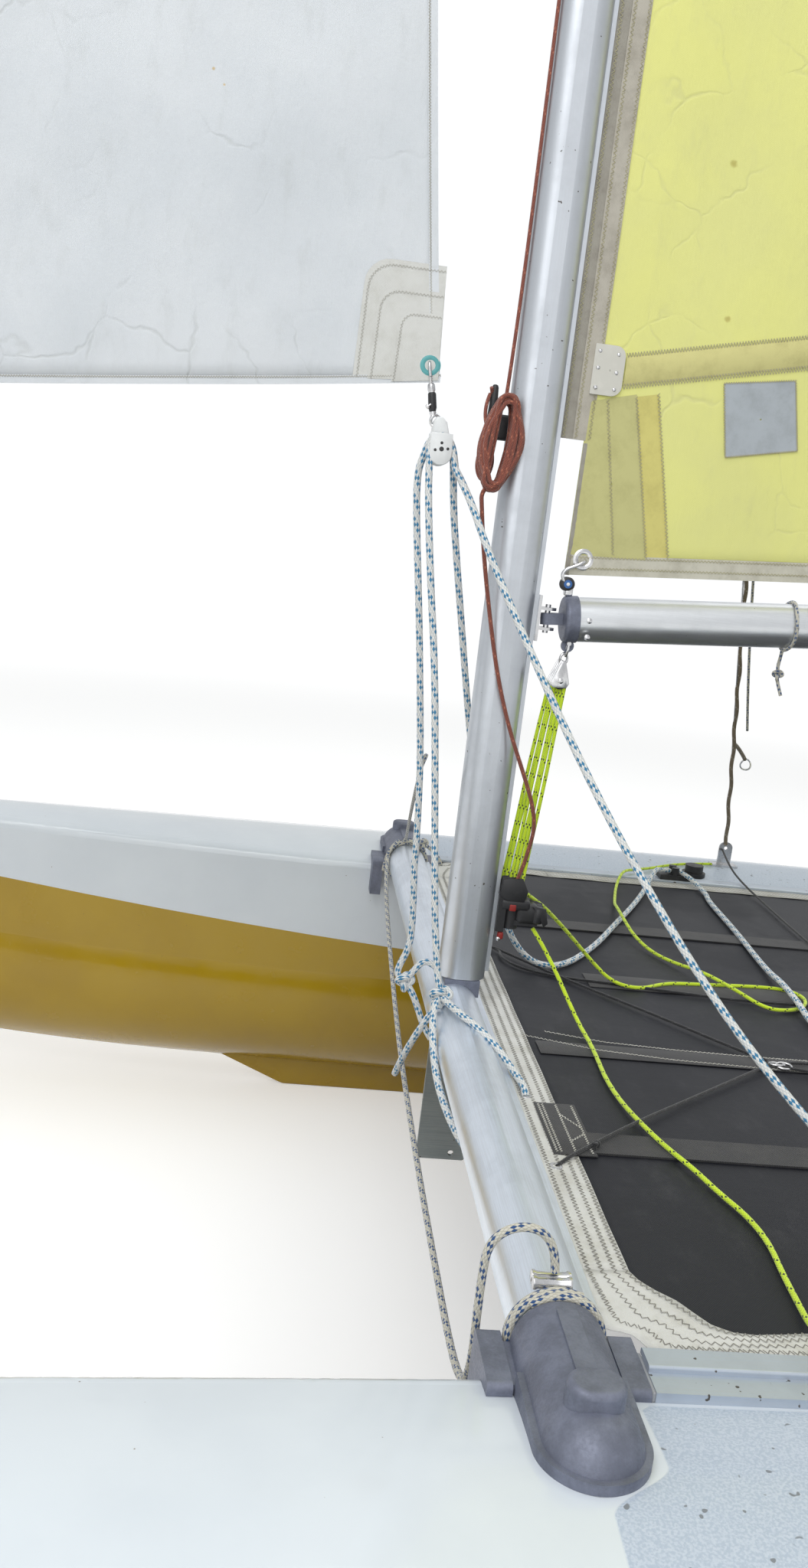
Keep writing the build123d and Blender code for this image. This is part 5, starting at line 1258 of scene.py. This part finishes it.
def make_shock_cords():
    """Black elastic on the trampoline: from its front eyes to two rings, back from them, the trapeze's."""
    half = [(-752, -996, 44), (-744, -930, 30), (-744, -850, 14), (-746, -683, 6), (-736, -436, 8),
            (-740, -200, 5)]
    strands = [
        [(-60, -312, 1), (-62, -306, 6), (-116, -240, 6), (-107, -215, 6), (-130, -165, 5), (-196, -133, 5),
         (-273, -126, 5), (-403, -102, 6), (-492, -93, 5), (-620, -98, 5), (-1100, -80, 6), (-1980, -60, 5)],
        [(-60, -312, 1), (-64, -300, 7), (-116, -238, 7), (-202, -124, 6), (-313, 1, 6), (-416, 129, 6),
         (-436, 150, 7)],
        [(-438, 160, 7), (-281, 293, 6), (-184, 379, 9), (-120, 438, 8), (-72, 483, 7), (-63, 490, 1)],
        [(-454, 154, 7), (-520, 145, 6), (-900, 100, 5), (-1980, 60, 5)],
        [(-452, 168, 7), (-520, 190, 6), (-900, 210, 5), (-1980, 200, 5)],
        half + [(-745, 0, 5)] + [(x, -y, z) for x, y, z in reversed(half)],
        knot((-118, 446, 9), 9, 0.5),
    ]
    rope_piece("shock_cords", strands, 4.4, "shock_cord", sides=8)
    steel = Shape()
    for x, y, tilt in ((-446, 160, 1.5), (-455, 164.5, -1.2)):
        steel.tube(ring(lambda a: (x + 11 * cos(a), y + 8 * sin(a), 7 + tilt * sin(a))), 1.8, 8)
    steel.piece("shock_cord_rings", "steel")


# Floor, light and the run

FLOOR = 30
FADE = (4, 13)           # metres from the boat where the floor turns into the backdrop
BACKDROP = (1, 1, 1)
BACKDROP_SHARE = 0.38
LAMPS = (("key", (1500, 2700, 4300), 3.2, 96), ("far", (-2600, -1500, 5000), 4.0, 58),
         ("fill", (900, 3600, 1500), 2.6, 24))
LIT_PLACE = (0, 0, 200)
SKY = (0.97, 0.985, 1.0, 1)
WORLD_LIGHT = 0.74
SEEN_WORLD = 1.04        # what the camera sees of the world: white


def make_floor():
    mesh = bpy.data.meshes.new("floor")
    corners = [(-FLOOR, -FLOOR, 0), (FLOOR, -FLOOR, 0), (FLOOR, FLOOR, 0), (-FLOOR, FLOOR, 0)]
    mesh.from_pydata(corners, [], [(0, 1, 2, 3)])
    finish = Finish("pale_floor", roughness=0.9, specular_IOR_level=0.1)
    from_middle = finish.node("VectorMath", {0: finish.object_place()}, out=1, operation="LENGTH")
    far = finish.spread(from_middle, *FADE)
    glow = finish.math("MULTIPLY", finish.seen("Camera", "Glossy", "Transmission"),
                       finish.spread(far, 0, 1, BACKDROP_SHARE, 1))
    finish.surface(base_color=finish.mix(far, (0.80, 0.80, 0.79), (0, 0, 0)), emission_color=BACKDROP,
                   emission_strength=glow)
    mesh.materials.append(finish.material)
    floor = bpy.data.objects.new("floor", mesh)
    bpy.context.collection.objects.link(floor)


def make_light():
    world = bpy.data.worlds.new("world")
    bpy.context.scene.world = world
    tree = Tree(world)
    color, strength = world.node_tree.nodes["Background"].inputs[:2]
    tree.give(color, SKY)
    tree.give(strength, tree.node("MapRange", {0: tree.seen("Camera", "Transmission"), 3: WORLD_LIGHT,
                                               4: SEEN_WORLD}))
    for name, spot, size, power in LAMPS:
        lamp = bpy.data.lights.new(name, "AREA")
        lamp.size = size
        lamp.energy = power
        holder = bpy.data.objects.new(name, lamp)
        bpy.context.collection.objects.link(holder)
        holder.location = place(*spot)
        holder.rotation_mode = "QUATERNION"
        holder.rotation_quaternion = (place(*LIT_PLACE) - place(*spot)).to_track_quat("-Z", "Y")
    bpy.context.scene.view_settings.view_transform = "Standard"


for make in (make_camera, dress_cad, make_ropes, make_halyard, make_cross_sheet, make_sheet_falls,
             make_beam_lashings, make_mainsail, make_jib, make_trampoline, make_rail_ends, make_clew_block,
             make_tackle, make_boom_fittings, make_trapeze_lines, make_shock_cords, make_floor, make_light):
    make()
